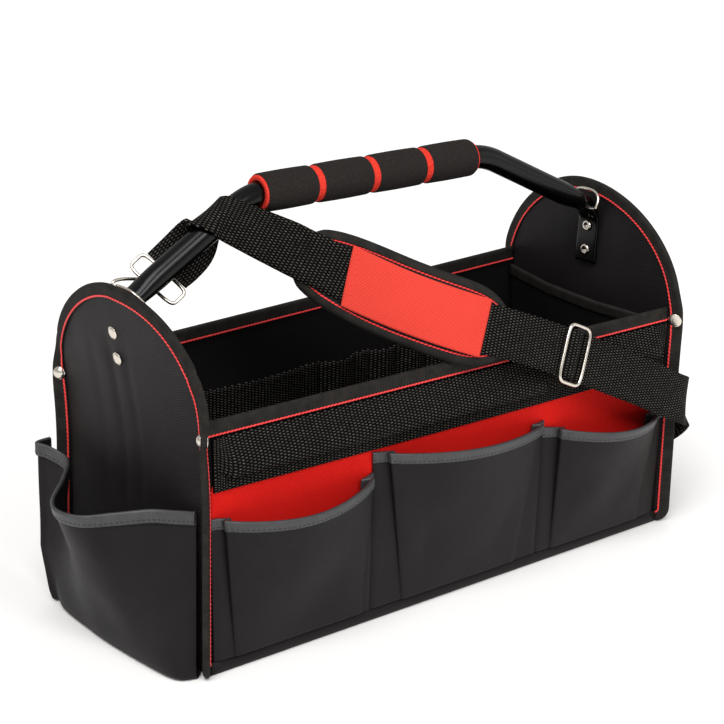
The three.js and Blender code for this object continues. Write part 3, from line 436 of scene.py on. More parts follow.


# The black cloth's strong mottle is painted sheen in soft clouds, besides the cloth's own unevenness
BLACK_CLOTH = WovenCloth("black_woven_polyester", Slot.BLACK_CLOTH, 0.5, 0.13, "#0d0b0c", "#242021",
                         thread=1.1, relief=0.25, mottle=0.9)
DARK_CLOTH = WovenCloth("black_lining_polyester", Slot.BLACK_CLOTH, 0.9, 0.08, "#0e0d0d", "#191617",
                        thread=1.1, relief=0.2, mottle=0.5)
RED_CLOTH = WovenCloth("red_woven_polyester", Slot.RED_CLOTH, 0.75, 0.06, "#c0130f", "#de221c",
                       thread=1.2, relief=0.3, mottle=0.4)
# The patch's red is the red cloth painted lighter: painted sheen on the patch
RED_PATCH_PAINTED_SHEEN = WovenCloth("red_patch_polyester", Slot.RED_CLOTH, 0.75, 0.06, "#c4352a", "#e04a3e",
                       thread=1.2, relief=0.3, mottle=0.4)
BLACK_TAPE = RibbedTape("black_grosgrain", Slot.BLACK_TAPE, 0.75, 0.15, "#0d0c0b", "#37332f",
                        relief=0.25, rib=1.4)
GREY_TAPE = RibbedTape("grey_grosgrain", Slot.GREY_TAPE, 0.5, 0.7, "#1c1c1e", "#434346",
                       relief=0.25, rib=1.4)
# The high shade is light grey on black yarn: painted highlight on the threads' crowns; the low shade in the
# gaps is painted shade
BLACK_WEBBING = Webbing("black_woven_webbing", Slot.WEBBING, 0.65, 0.05, "#030303", "#8f887f",
                        relief=0.5, thread=2.1, rib=3.2, gap=1.15)
BLACK_PAINT = GlossPaint("black_stoved_paint", Slot.PAINT, 0.2, 0.22, "#040404")
# Each foam's lower shade is painted in its pores: painted shade
BLACK_FOAM = Foam("black_closed_cell_foam", Slot.BLACK_FOAM, 0.9, 0.1, "#1b1817", "#2c2826",
                  relief=0.3, pore=1.3)
RED_FOAM = Foam("red_closed_cell_foam", Slot.RED_FOAM, 0.85, 0.1, "#b91f18", "#ea4636",
                relief=0.3, pore=1.3)
NICKEL = NickelPlate("nickel_plated_steel", Slot.NICKEL, 0.2, 0.5, "#dcd4c8")
RED_THREAD = Thread("red_polyester_thread", Slot.RED_CLOTH, 0.6, 0.5, "#dc141d", "#ff3d3a")
BLACK_THREAD = Thread("black_polyester_thread", Slot.BLACK_TAPE, 0.6, 0.5, "#040404", "#0d0c0c")


# Making pieces

def to_object(name: str, bm: bmesh.types.BMesh) -> Piece:
    """Turns a bmesh into a smooth-shaded object in the scene.

    Args:
        name: The object's name.
        bm: Its mesh, which is used up.

    Returns:
        The object.
    """
    for face in bm.faces:
        face.smooth = True
    mesh = bpy.data.meshes.new(name)
    bm.to_mesh(mesh)
    bm.free()
    made = bpy.data.objects.new(name, mesh)
    bpy.context.scene.collection.objects.link(made)
    return made


def dress(piece: Piece, finish: Finish, *nodes: str) -> Piece:
    """Gives a piece its finish and its place in the assembly.

    Args:
        piece: The new piece.
        finish: What it is made of.
        *nodes: The solids that it stands for.

    Returns:
        The piece.
    """
    piece.data.materials.append(finish.material())
    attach(piece, "root")
    if nodes:
        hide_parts(*nodes)
    LOG.info("%s: %d faces, %s", piece.name, len(piece.data.polygons), finish.name)
    return piece


def surface_normal(surface: Surface, u: float, v: float, step: float = 2e-3) -> Vector:
    """The unit normal of a surface, from its slopes along u and v.

    Args:
        surface: The surface.
        u: The place along it.
        v: The place up it.
        step: How far to each side the slopes are taken.

    Returns:
        The normal.
    """
    along = surface(min(1.0, u + step), v) - surface(max(0.0, u - step), v)
    up = surface(u, min(1.0, v + step)) - surface(u, max(0.0, v - step))
    return along.cross(up).normalized()


def running_lengths(points: Sequence[Vector]) -> list[float]:
    """Measures along a row of points.

    Args:
        points: The points, in order.

    Returns:
        The length up to each of them.
    """
    lengths = [0.0]
    for a, b in zip(points, points[1:]):
        lengths.append(lengths[-1] + (b - a).length)
    return lengths


def point_at(points: Sequence[Vector], lengths: Sequence[float], run: float) -> Vector:
    """A place on a row of points.

    Args:
        points: The points, in order.
        lengths: The length up to each of them.
        run: The length along them to the place.

    Returns:
        The place.
    """
    index = 0
    while index < len(points) - 2 and lengths[index + 1] < run:
        index += 1
    part = (run - lengths[index]) / (lengths[index + 1] - lengths[index])
    return points[index].lerp(points[index + 1], part)


def cloth(name: str, surface: Surface, columns: int, rows: int, outward: Vector, thickness: float,
          lie: float = -1.0) -> Piece:
    """Lays a sheet of cloth on a surface and maps it by its own lengths.

    Args:
        name: The piece's name.
        surface: Where the cloth lies, for u and v from 0 to 1.
        columns: Steps along u.
        rows: Steps along v.
        outward: A direction that the cloth's outside faces near u = 0.5, v = 0.1.
        thickness: Through the cloth.
        lie: -1 if the surface is the cloth's outside, and 1 if it is its inside.

    Returns:
        The cloth.
    """
    bm = bmesh.new()
    layer = bm.loops.layers.uv.new("cloth")
    bmesh.ops.create_grid(bm, x_segments=columns, y_segments=rows, size=0.5, calc_uvs=True)
    across = running_lengths([surface(i / columns, 0.5) for i in range(columns + 1)])
    upward = running_lengths([surface(0.5, i / rows) for i in range(rows + 1)])
    for face in bm.faces:
        for loop in face.loops:
            u, v = loop[layer].uv
            loop[layer].uv = across[round(u * columns)] * MM, upward[round(v * rows)] * MM
    for vert in bm.verts:
        vert.co = surface(vert.co.x + 0.5, vert.co.y + 0.5) * MM
    bmesh.ops.remove_doubles(bm, verts=bm.verts, dist=1e-7)
    if surface_normal(surface, 0.5, 0.1).dot(outward) < 0:
        bmesh.ops.reverse_faces(bm, faces=bm.faces)
    made = to_object(name, bm)
    wall = made.modifiers.new("thickness", "SOLIDIFY")
    wall.thickness = thickness * MM
    wall.offset = lie
    return made


def folded_tape(edge: Edge, leg: float, half: float) -> Surface:
    """Binding folded over an edge of cloth.

    Args:
        edge: The middle of the cloth by the share along the edge and the distance in, and the way off it.
        leg: How far the tape reaches down each side.
        half: From the middle of the cloth to the outside of the tape.

    Returns:
        The tape's outside, from its outer foot over the edge to its inner foot.
    """
    mid, normal = edge
    turn = math.pi * half
    crown, pinch, pinch_run = 0.8, 0.35, 1.2

    def place(u: float, v: float) -> Vector:
        """A place on the tape.

        Args:
            u: The share along the edge.
            v: The share round it.

        Returns:
            The place.
        """
        run = v * (2 * leg + turn)
        if run < leg:
            inset, side = leg - run, 1.0
        elif run > leg + turn:
            inset, side = run - leg - turn, -1.0
        else:
            angle = (run - leg) / half
            inset, side = -crown * half * math.sin(angle), math.cos(angle)
        foot = smoothstep(inset, leg - pinch_run, leg)
        return mid(u, inset) + normal(u) * (side * (half - pinch * foot))

    return place


def cloth_edge(surface: Surface, thickness: float) -> Edge:
    """The middle of a cloth near its v = 1 edge, and the way off it.

    Args:
        surface: The cloth's inside.
        thickness: Through the cloth.

    Returns:
        The middle by the share along the edge and the distance in, and the normal along the edge.
    """
    step = 0.015
    known: dict[float, tuple[list[Vector], list[float]]] = {}

    def normal(u: float) -> Vector:
        """The way off the cloth's outside."""
        return surface_normal(surface, u, 0.97, 0.012)

    def mid(u: float, inset: float) -> Vector:
        """The middle of the cloth, carried on straight past its edge.

        Args:
            u: The share along the edge.
            inset: The distance in from the edge, measured down the cloth.

        Returns:
            The place.
        """
        if u not in known:
            places = [surface(u, 1.0 - i * step) for i in range(20)]
            known[u] = places, running_lengths(places)
        places, lengths = known[u]
        lift = normal(u) * (thickness / 2)
        if inset < 0:
            return places[0] + (places[1] - places[0]).normalized() * inset + lift
        return point_at(places, lengths, inset) + lift

    return mid, normal


def bind(name: str, node: str, finish: RibbedTape, edge: Edge, leg: float, half: float, columns: int,
         rows: int) -> None:
    """Makes the binding of an edge of cloth.

    Args:
        name: The tape's name.
        node: The solid that it stands for.
        finish: What it is made of.
        edge: The middle of the cloth near its edge, and the way off it.
        leg: How far the tape reaches down each side.
        half: From the middle of the cloth to the outside of the tape.
        columns: Steps along the edge.
        rows: Steps round it.
    """
    tape = cloth(name, folded_tape(edge, leg, half), columns, rows, edge[1](0.5), TAPE)
    dress(tape, finish, node)


@dataclass(frozen=True)
class Stitching:
    """A row of lock stitches: their spacing, their size and the slant that the thread's twist gives."""

    pitch: float
    long: float
    wide: float
    tall: float
    slant: float

    def sew(self, name: str, line: Line, samples: int = 160) -> Piece:
        """Sews a row along a line.

        Args:
            name: The row's name.
            line: A place and the way off the cloth, for a share from 0 to 1.
            samples: How finely the line is measured.

        Returns:
            The row of stitches.
        """
        shares = [i / samples for i in range(samples + 1)]
        points = [line(share)[0] for share in shares]
        lengths = running_lengths(points)
        size = Matrix.Diagonal((self.long / 2, self.wide / 2, self.tall / 2, 1.0))
        bm = bmesh.new()
        count = int(lengths[-1] / self.pitch)
        index = 0
        for i in range(count):
            target = (i + 0.5) * lengths[-1] / count
            while lengths[index + 1] < target:
                index += 1
            part = (target - lengths[index]) / (lengths[index + 1] - lengths[index])
            at = points[index].lerp(points[index + 1], part)
            normal = line(lerp(shares[index], shares[index + 1], part))[1]
            along = (points[index + 1] - points[index]).normalized()
            side = normal.cross(along).normalized()
            up = along.cross(side)
            slanted = along * math.cos(self.slant) + side * math.sin(self.slant)
            axes = Matrix((slanted, up.cross(slanted), up)).transposed().to_4x4()
            bmesh.ops.create_uvsphere(bm, u_segments=6, v_segments=5, radius=MM,
                                      matrix=Matrix.Translation(at * MM) @ axes @ size)
        return to_object(name, bm)

    def sew_edge(self, name: str, finish: Thread, edge: Edge, inset: float, off: float,
                 samples: int = 160) -> None:
        """Sews a row along an edge of cloth.

        Args:
            name: The row's name.
            finish: The thread.
            edge: The middle of the cloth near its edge, and the way off it.
            inset: The row's distance in from the edge.
            off: The row's distance from the middle of the cloth, below 0 on the inside.
            samples: How finely the edge is measured.
        """
        mid, normal = edge
        side = math.copysign(1.0, off)

        def line(s: float) -> tuple[Vector, Vector]:
            """A place on the row and the way off the cloth there."""
            return mid(s, inset) + normal(s) * off, normal(s) * side

        dress(self.sew(name, line, samples), finish)


RED_ROW = Stitching(pitch=3.2, long=4.0, wide=1.6, tall=0.9, slant=math.radians(14))
FINE_ROW = Stitching(pitch=3.8, long=2.7, wide=1.0, tall=0.6, slant=0.0)
RED_LIFT = 0.1
FINE_LIFT = 0.05


def wire(name: str, path: Sequence[Vector], normal: Vector, thick: float, sides: int = 12) -> Piece:
    """Bends round wire into a closed flat loop.

    Args:
        name: The loop's name.
        path: Its middle line, in order.
        normal: Square to the loop.
        thick: The wire's diameter.
        sides: Faces round the wire.

    Returns:
        The loop.
    """
    count = len(path)
    frames = []
    for i, at in enumerate(path):
        along = (path[(i + 1) % count] - path[i - 1]).normalized()
        side = along.cross(normal).normalized()
        axes = Matrix((side, along.cross(side), along)).transposed().to_4x4()
        frames.append(Matrix.Translation(at * MM) @ axes)
    bm = bmesh.new()
    bmesh.ops.create_circle(bm, cap_ends=False, segments=sides, radius=thick / 2 * MM, matrix=frames[0])
    first = bm.edges[:]
    edges = first
    for before, here in zip(frames, frames[1:]):
        grown = bmesh.ops.extrude_edge_only(bm, edges=edges)["geom"]
        verts = [part for part in grown if isinstance(part, bmesh.types.BMVert)]
        edges = [part for part in grown if isinstance(part, bmesh.types.BMEdge)]
        bmesh.ops.transform(bm, matrix=here @ before.inverted(), verts=verts)
    bmesh.ops.bridge_loops(bm, edges=first + edges)
    bmesh.ops.recalc_face_normals(bm, faces=bm.faces)
    return to_object(name, bm)


def squared_loop(at: Vector, along: Vector, up: Vector, long: float, short: float, square: float,
                 steps: int) -> list[Vector]:
    """The middle line of a wire loop between an oval and a rectangle.

    Args:
        at: The loop's middle.
        along: The way along it.
        up: The way across it.
        long: Its length.
        short: Its width.
        square: 1 for an oval, and less for squarer corners.
        steps: The number of points.

    Returns:
        The points, in order.
    """
    path = []
    for i in range(steps):
        angle = math.tau * i / steps
        x = signed_power(math.cos(angle), square) * long / 2
        y = signed_power(math.sin(angle), square) * short / 2
        path.append(at + along * x + up * y)
    return path


def turned(name: str, profile: Profile, at: Vector, axis: Vector, steps: int) -> Piece:
    """Turns a round part from a profile.

    Args:
        name: The part's name.
        profile: Radius and height along the axis, in order.
        at: The middle of the profile's zero height.
        axis: The way that the part's height runs.
        steps: Faces round it.

    Returns:
        The part.
    """
    bm = bmesh.new()
    verts = [bm.verts.new((radius * MM, 0, height * MM)) for radius, height in profile]
    edges = [bm.edges.new(pair) for pair in zip(verts, verts[1:])]
    bmesh.ops.spin(bm, geom=verts + edges, cent=(0, 0, 0), axis=(0, 0, 1), angle=math.tau, steps=steps,
                   use_merge=True)
    bmesh.ops.remove_doubles(bm, verts=bm.verts, dist=1e-6)
    bmesh.ops.recalc_face_normals(bm, faces=bm.faces)
    turn = Vector((0, 0, 1)).rotation_difference(axis).to_matrix().to_4x4()
    bmesh.ops.transform(bm, matrix=Matrix.Translation(at * MM) @ turn, verts=bm.verts)
    return to_object(name, bm)


# The sewn shell

@dataclass(frozen=True)
class Post:
    """A corner seam: where it stands, and where it is at the long walls' tops."""

    foot_x: float
    foot_y: float
    top_x: float
    top_y: float

    def at(self, z: float) -> tuple[float, float]:
        """Its x and y at a height."""
        share = min(1.0, z / WALL_TOP)
        return lerp(self.foot_x, self.top_x, share), lerp(self.foot_y, self.top_y, share)


@dataclass(frozen=True)
class Fold:
    """A soft upright fold of an end panel: where it is, how deep and how wide."""

    y: float
    depth: float
    width: float


FRONT_LEFT = Post(-227, -87, -222, -83)
FRONT_RIGHT = Post(233, -87, 223, -99)
BACK_LEFT = Post(-227, 86, -222, 86)
BACK_RIGHT = Post(233, 86, 223, 83)


@dataclass(frozen=True)
class EndPanel:
    """An arched end of the bag, with the seam flanges that stand out at its corners.

    The apex is where across the panel the arch is highest, and a fullness of 2 is an ellipse.
    """

    name: str
    sign: int
    front: Post
    back: Post
    lean: float
    bow: float
    apex: float
    front_fullness: float
    back_fullness: float
    folds: tuple[Fold, ...]
    fin: float = 9.5
    fin_turn: float = math.radians(45)
    fin_share: float = 0.1
    turn_from: float = 165
    turn_to: float = 208
    spring: float = 186
    rise: float = 87
    lean_from: float = 120
    lean_full: float = 200
    foot: float = 1.95
    foot_round: float = 10.0
    leg: float = 8.6
    sewn_at: float = 7.4
    unevenness: float = 0.7
    wave_size: float = 34
    wave_run: tuple[float, float] = (8, 30)
    fold_run: tuple[float, float] = (60, 190)
    fold_fade: tuple[float, float] = (205, 244)

    @property
    def depth(self) -> float:
        """The flat panel between its two posts."""
        return self.back.top_y - self.front.top_y

    @property
    def width(self) -> float:
        """The flat panel with both flanges."""
        return self.depth + 2 * self.fin

    @property
    def outward(self) -> Vector:
        """The way that the panel faces."""
        return Vector((self.sign, 0, 0))

    def leans(self, z: float) -> float:
        """How far the end leans out.

        Args:
            z: The height.

        Returns:
            The distance.
        """
        bend = clamp(z, self.lean_from, self.lean_full) - self.lean_from
        soft = bend ** 2 / (2 * (self.lean_full - self.lean_from))
        return self.lean * (soft + max(0.0, z - self.lean_full))

    def dip(self, y: float, z: float) -> float:
        """How far the soft folds draw the panel in at a place."""
        fade = smoothstep(z, *self.fold_run) * (1 - smoothstep(z, *self.fold_fade))
        return fade * sum(fold.depth * math.exp(-((y - fold.y) / fold.width) ** 2) for fold in self.folds)

    def face(self, across: float, z: float) -> Vector:
        """A place on the panel's outside.

        Args:
            across: The distance across the panel laid flat, from its front edge.
            z: The height.

        Returns:
            The place.
        """
        flat = across - self.fin
        along = clamp(flat / self.depth)
        reach = max(0.0, -flat, flat - self.depth)
        side = -1 if flat < 0 else 1
        front_x, front_y = self.front.at(z)
        back_x, back_y = self.back.at(z)
        y = lerp(front_y, back_y, along)
        middle = max(0.0, math.sin(math.pi * along))
        bow = self.bow * math.sqrt(middle) * smoothstep(z, self.lean_from, self.lean_full)
        x = lerp(front_x, back_x, along) + self.sign * (self.leans(z) + bow - self.dip(y, z) * middle)
        turn = self.fin_turn * (1 - smoothstep(z, self.turn_from, self.turn_to))
        return Vector((x + self.sign * math.sin(turn) * reach, y + side * math.cos(turn) * reach, z))

    def normal(self, across: float, z: float) -> Vector:
        """The way off the panel's outside.

        Args:
            across: The distance across the panel laid flat, from its front edge.
            z: The height.

        Returns:
            The unit normal.
        """
        step = 0.6
        along = self.face(across + step, z) - self.face(across - step, z)
        up = self.face(across, z + step) - self.face(across, z - step)
        off = along.cross(up).normalized()
        return off if off.x * self.sign > 0 else -off

    def top(self, across: float) -> float:
        """The height of the arched edge.

        Args:
            across: The distance across the panel laid flat, from its front edge.

        Returns:
            The height.
        """
        share = across / self.width
        if share < self.apex:
            off, fullness = (self.apex - share) / self.apex, self.front_fullness
        else:
            off, fullness = (share - self.apex) / (1 - self.apex), self.back_fullness
        return self.spring + self.rise * max(0.0, 1 - min(1.0, off) ** fullness) ** (1 / fullness)

    def edge(self) -> list[Vector]:
        """The edge of the flat panel.

        Returns:
            Distances across and heights, from the front foot over the arch to the back foot.
        """
        rows, straight = 40, 20
        quarter = [math.pi / 2 * i / rows for i in range(rows + 1)]
        bend, low = self.foot_round, self.foot + self.foot_round
        corner = [(bend * (1 - math.sin(a)), low - bend * math.cos(a)) for a in quarter[::5]]
        shares = [i / straight for i in range(1, straight)]
        line = [Vector(place) for place in corner]
        line += [Vector((0, lerp(low, self.spring, share))) for share in shares]
        halves = (0, self.front_fullness, quarter), (self.width, self.back_fullness, quarter[-2::-1])
        for start, fullness, angles in halves:
            power = 2 / fullness
            for a in angles:
                away = max(0.0, math.cos(a)) ** power
                across = lerp(self.apex * self.width, start, away)
                line.append(Vector((across, self.spring + self.rise * math.sin(a) ** power)))
        line += [Vector((self.width, lerp(self.spring, low, share))) for share in shares]
        line += [Vector((self.width - across, z)) for across, z in reversed(corner)]
        return line

    def across_at(self, u: float) -> float:
        """Spreads the panel's columns over its two flanges and closely beside its corner seams.

        Args:
            u: The share of the columns, from the front.

        Returns:
            The distance across the flat panel.
        """
        share, inner, outer = self.fin_share, self.fin, self.width - self.fin
        if u < share:
            return lerp(0, inner, u / share)
        if u > 1 - share:
            return lerp(outer, self.width, (u - 1 + share) / share)
        middle = (u - share) / (1 - 2 * share)
        eased = lerp(middle, 0.5 - 0.5 * math.cos(math.pi * middle), 0.6)
        return lerp(inner, outer, eased)

    def place(self, u: float, v: float) -> Vector:
        """A place on the panel's outside, which is a little uneven.

        Args:
            u: The share of the columns, from the front.
            v: The share of the height.

        Returns:
            The place.
        """
        across = self.across_at(u)
        nearest = min(across, self.width - across)
        short = max(0.0, self.foot_round - nearest)
        corner = self.foot + self.foot_round - math.sqrt(self.foot_round ** 2 - short ** 2)
        at = self.face(across, lerp(max(FLOOR_TOP + GAP, corner), self.top(across), v))
        wave = self.unevenness * ripple(at, self.wave_size) * smoothstep(nearest, *self.wave_run)
        at.x += self.sign * wave
        return at

    def bound_edge(self) -> Edge:
        """The panel's edge for its binding.

        Returns:
            The middle of the cloth by the share along the edge and the distance in, and the way off it.
        """
        line = self.edge()
        lengths = running_lengths(line)
        aside, normal_in = 3.0, 4.0

        def flat_at(run: float) -> Vector:
            """The place on the flat edge at a length along it."""
            return point_at(line, lengths, clamp(run, 0.0, lengths[-1]))

        def inside(u: float, inset: float) -> Vector:
            """A place on the flat panel near its edge.

            Args:
                u: The share along the edge.
                inset: The distance in from it.

            Returns:
                The distance across and the height.
            """
            run = u * lengths[-1]
            ahead = (flat_at(run + aside) - flat_at(run - aside)).normalized()
            return flat_at(run) + Vector((ahead.y, -ahead.x)) * inset

        def normal(u: float) -> Vector:
            """The way off the panel's outside near its edge."""
            return self.normal(*inside(u, normal_in))

        def mid(u: float, inset: float) -> Vector:
            """The middle of the cloth."""
            return self.face(*inside(u, inset)) - normal(u) * (PANEL / 2)

        return mid, normal

    def build(self) -> None:
        """Makes the panel, its binding and the two rows of stitches that hold the binding."""
        edge = self.bound_edge()
        half = PANEL / 2 + TAPE + TAPE_ROOM
        panel = cloth(f"{self.name}_panel_cloth", self.place, 80, 60, self.outward, PANEL)
        dress(panel, BLACK_CLOTH, f"{self.name}_end_panel")
        bind(f"{self.name}_panel_tape", f"{self.name}_end_binding", BLACK_TAPE, edge, self.leg, half,
             260, 16)
        for word, off in (("outer", half + RED_LIFT), ("inner", -half - RED_LIFT)):
            RED_ROW.sew_edge(f"{self.name}_{word}_stitches", RED_THREAD, edge, self.sewn_at, off, 260)


LEFT_END = EndPanel("left", -1, FRONT_LEFT, BACK_LEFT, lean=0.17, bow=3.5, apex=0.485, front_fullness=2.5,
                    back_fullness=1.66, folds=(Fold(14, 1.5, 4), Fold(-6, 1.2, 4), Fold(38, 0.9, 6)))
RIGHT_END = EndPanel("right", 1, FRONT_RIGHT, BACK_RIGHT, lean=0.06, bow=0.0, apex=0.554,
                     front_fullness=1.9, back_fullness=1.94,
                     folds=(Fold(22, 1.2, 8), Fold(-40, 1.0, 8)))


@dataclass(frozen=True)
class LongWall:
    """The front or the back of the bag, and how far its top stands above WALL_TOP at its two ends."""

    name: str
    sign: int
    left: Post
    right: Post
    rise_left: float
    rise_right: float
    belly: float = 2.0
    leg: float = 9.2
    sewn_at: float = 8.7
    tape_inset: float = 2.0

    @property
    def outward(self) -> Vector:
        """The way that the wall faces."""
        return Vector((0, self.sign, 0))

    def face(self, x: float, z: float, out: float) -> Vector:
        """A place off the wall's outside.

        Args:
            x: The place along the bag.
            z: The height.
            out: The distance out from the wall.

        Returns:
            The place.
        """
        left_x, left_y = self.left.at(z)
        right_x, right_y = self.right.at(z)
        share = (x - left_x) / (right_x - left_x)
        swell = self.belly * math.sin(math.pi * share) * math.sin(math.pi * min(z, WALL_TOP) / WALL_TOP)
        return Vector((x, lerp(left_y, right_y, share) + self.sign * (swell + out), z))

    def reach(self, z: float, inset: float) -> tuple[float, float]:
        """The wall's two ends, just inside the end panels.

        Args:
            z: The height.
            inset: How far inside the panels.

        Returns:
            The x of the left and of the right end.
        """
        ends = []
        for end in (LEFT_END, RIGHT_END):
            across = end.fin if self.sign < 0 else end.fin + end.depth
            ends.append(end.face(across, z).x - end.sign * (PANEL + inset))
        return ends[0], ends[1]

    def top(self, u: float) -> float:
        """The height of the wall's raw edge at a share along it."""
        return WALL_TOP + lerp(self.rise_left, self.rise_right, u)

    def place(self, u: float, v: float) -> Vector:
        """A place on the wall's outside, u along it and v up it."""
        z = lerp(FLOOR_TOP + GAP, self.top(u), v)
        return self.face(lerp(*self.reach(z, GAP), u), z, 0.0)

    def near_top(self, u: float, inset: float) -> Vector:
        """A place in the middle of the wall's cloth, at a share along it and a distance down."""
        z = self.top(u) - inset
        return self.face(lerp(*self.reach(z, self.tape_inset), u), z, -CLOTH / 2)

    def build(self) -> None:
        """Makes the wall, its top binding and the stitches along both faces of the binding."""
        edge = self.near_top, lambda u: self.outward
        half = CLOTH / 2 + TAPE + TAPE_ROOM
        wall = cloth(f"{self.name}_wall_cloth", self.place, 96, 30, self.outward, CLOTH)
        dress(wall, DARK_CLOTH, f"{self.name}_wall")
        bind(f"{self.name}_wall_tape", f"{self.name}_top_binding", BLACK_TAPE, edge, self.leg, half,
             160, 16)
        for word, off in (("outer", half + RED_LIFT), ("inner", -half - RED_LIFT)):
            RED_ROW.sew_edge(f"{self.name}_{word}_stitches", RED_THREAD, edge, self.sewn_at, off)


FRONT = LongWall("front", -1, FRONT_LEFT, FRONT_RIGHT, rise_left=0.0, rise_right=0.0)
BACK = LongWall("back", 1, BACK_LEFT, BACK_RIGHT, rise_left=2.0, rise_right=8.5)


@dataclass(frozen=True)
class Base:
    """The stiff bottom, whose cloth is turned up a little on the long walls."""

    end_inset: float = 3.0
    thickness: float = 2.2
    # Columns: distance out from a long wall and height, from the rim's top to the flat underside
    rim: tuple[tuple[float, float], ...] = (
        (2.7, 10.5),
        (2.7, 3.2),
        (2.2, 1.4),
        (1.2, 0.3),
        (-1.0, 0.0),
        (-30.0, 0.0),
    )

    def corner(self, row: int, u: float) -> Vector:
        """A place on one of the section's lines along the bag.

        Args:
            row: The line, from the front rim's top under the bag to the back rim's top.
            u: The share along it.

        Returns:
            The place.
        """
        wall = FRONT if row < len(self.rim) else BACK
        out, z = self.rim[min(row, 2 * len(self.rim) - 1 - row)]
        x = lerp(wall.left.at(z)[0] + self.end_inset, wall.right.at(z)[0] - self.end_inset, u)
        return wall.face(x, z, out)

    def place(self, u: float, v: float) -> Vector:
        """A place on the outside of the base cloth, u along the bag and v round its section."""
        row, part = step_along(v, 2 * len(self.rim) - 1)
        return self.corner(row, u).lerp(self.corner(row + 1, u), part)

    def build(self) -> None:
        """Makes the bottom with its two rims."""
        rows = 2 * len(self.rim) - 1
        base = cloth("base_cloth", self.place, 60, rows, FRONT.outward, self.thickness)
        dress(base, BLACK_CLOTH, "base_panel")


# Pieces sewn on the front

@dataclass(frozen=True)
class FrontPocket:
    """A pocket with a pleat down each side: its flanges, seams and creases, and its mouth's heights."""

    name: str
    flange_left: float
    flange_right: float
    left: float
    right: float
    foot_left: float
    foot_right: float
    top_left: float
    top_right: float
    mouth_left: float
    mouth_middle: float
    mouth_right: float
    crease: float
    bulge: float
    foot: float = 11.0
    seam_out: float = 2.6
    edge_out: float = 1.3
    foot_crease: float = 1.5
    crease_round: float = 3.0
    side_share: float = 0.18
    pleat: float = 6.0
    leg: float = 7.5
    sewn_up: float = 2.2
    waves: float = 3.2
    wave_size: float = 50.0

    def rise(self, v: float) -> float:
        """How far the creases stand out from the seams at a share up the pocket."""
        return lerp(self.foot_crease, self.crease, v ** 1.2)

    def fold(self, edge: float, seam: float, crease: float, way: int, v: float) -> Profile:
        """The section of a side, from its flange over the seam and back round the pleat to the face.

        Args:
            edge: The x of the flange's edge.
            seam: The x of the seam.
            crease: The x of the crease at this height.
            way: 1 if the face lies to the right of the crease, and -1 if it lies to the left.
            v: The share up the pocket.

        Returns:
            Rows of x and distance out.
        """
        flat, rise = self.seam_out, self.rise(v)
        under = crease + way * self.pleat * smoothstep(v, 0.02, 0.4)
        return [(edge, self.edge_out), (seam, flat), (lerp(seam, crease, 0.6), flat + 0.1 * rise),
                (under, flat + 0.25 * rise), (lerp(under, crease, 0.6), flat + 0.5 * rise),
                (crease, flat + 0.8 * rise), (crease + way * self.crease_round, flat + rise)]

    def mouth(self, x: float) -> float:
        """The height of the mouth at a place along the bag.

        Args:
            x: The place.

        Returns:
            The height.
        """
        share = clamp((x - self.left) / (self.right - self.left))
        sag = self.mouth_middle - (self.mouth_left + self.mouth_right) / 2
        return lerp(self.mouth_left, self.mouth_right, share) + sag * math.sin(math.pi * share)

    def place(self, u: float, v: float) -> Vector:
        """A place on the inside of the pocket's cloth.

        Args:
            u: The share across the pocket.
            v: The share up it.

        Returns:
            The place.
        """
        crease_left = lerp(self.foot_left, self.top_left, v)
        crease_right = lerp(self.foot_right, self.top_right, v)
        if u < self.side_share:
            fold = self.fold(self.flange_left, self.left, crease_left, 1, v)
            x, out = smooth_row(fold, u / self.side_share)
        elif u > 1 - self.side_share:
            fold = self.fold(self.flange_right, self.right, crease_right, -1, v)
            x, out = smooth_row(fold, (1 - u) / self.side_share)
        else:
            face = (u - self.side_share) / (1 - 2 * self.side_share)
            x = lerp(crease_left + self.crease_round, crease_right - self.crease_round, face)
            swell = self.bulge * v ** 1.3 * math.sin(math.pi * face) ** 0.8
            out = self.seam_out + self.rise(v) + swell
        z = lerp(self.foot, self.mouth(x), v)
        soft = smoothstep(min(u, 1 - u), self.side_share, 0.3) * math.sin(math.pi * clamp(v * 1.2))
        out += self.waves * soft * ripple(Vector((x, z, self.left)), self.wave_size)
        return FRONT.face(x, z, out)

    def build(self) -> None:
        """Makes the pocket, its grey binding and the black stitches in the binding."""
        edge = cloth_edge(self.place, POCKET_CLOTH)
        half = POCKET_CLOTH / 2 + TAPE
        name, node = f"pocket_{self.name}", f"front_pocket_{self.name}"
        pocket = cloth(f"{name}_cloth", self.place, 120, 48, FRONT.outward, POCKET_CLOTH, 1.0)
        dress(pocket, BLACK_CLOTH, node)
        bind(f"{name}_tape", f"{node}_binding", GREY_TAPE, edge, self.leg, half, 200, 14)
        FINE_ROW.sew_edge(f"{name}_stitches", BLACK_THREAD, edge, self.leg - self.sewn_up, half + FINE_LIFT)


@dataclass(frozen=True)
class WebBand:
    """Webbing across the front, sewn down at its ends and at one join, and loose between."""

    left: float = -218.5
    right: float = 220
    join: float = 98
    out: float = 1.5
    end_run: float = 15
    # Columns: height and distance out where the band hangs loose and rolls under, from its foot up
    rolled: tuple[tuple[float, float], ...] = (
        (139, 1.5),
        (144, 1.5),
        (149.5, 1.6),
        (150.4, 4.6),
        (150.6, 8.2),
        (155, 10),
        (161.5, 8.8),
        (170, 4.8),
        (178.6, 1.5),
    )

    def place(self, u: float, v: float) -> Vector:
        """A place on the inside of the webbing.

        Args:
            u: The share along the band.
            v: The share up it.

        Returns:
            The place.
        """
        x = lerp(self.left, self.right, u)
        nearest = min(x - self.left, self.right - x, abs(x - self.join))
        loose = smoothstep(nearest, 1, self.end_run)
        z, out = smooth_row(self.rolled, v)
        flat = lerp(self.rolled[0][0], self.rolled[-1][0], v)
        return FRONT.face(x, lerp(flat, z, loose), lerp(self.out, out, loose))

    def build(self) -> None:
        """Makes the band."""
        band = cloth("band_webbing", self.place, 240, 40, FRONT.outward, WEBBING, 1.0)
        dress(band, BLACK_WEBBING, "front_web_band")


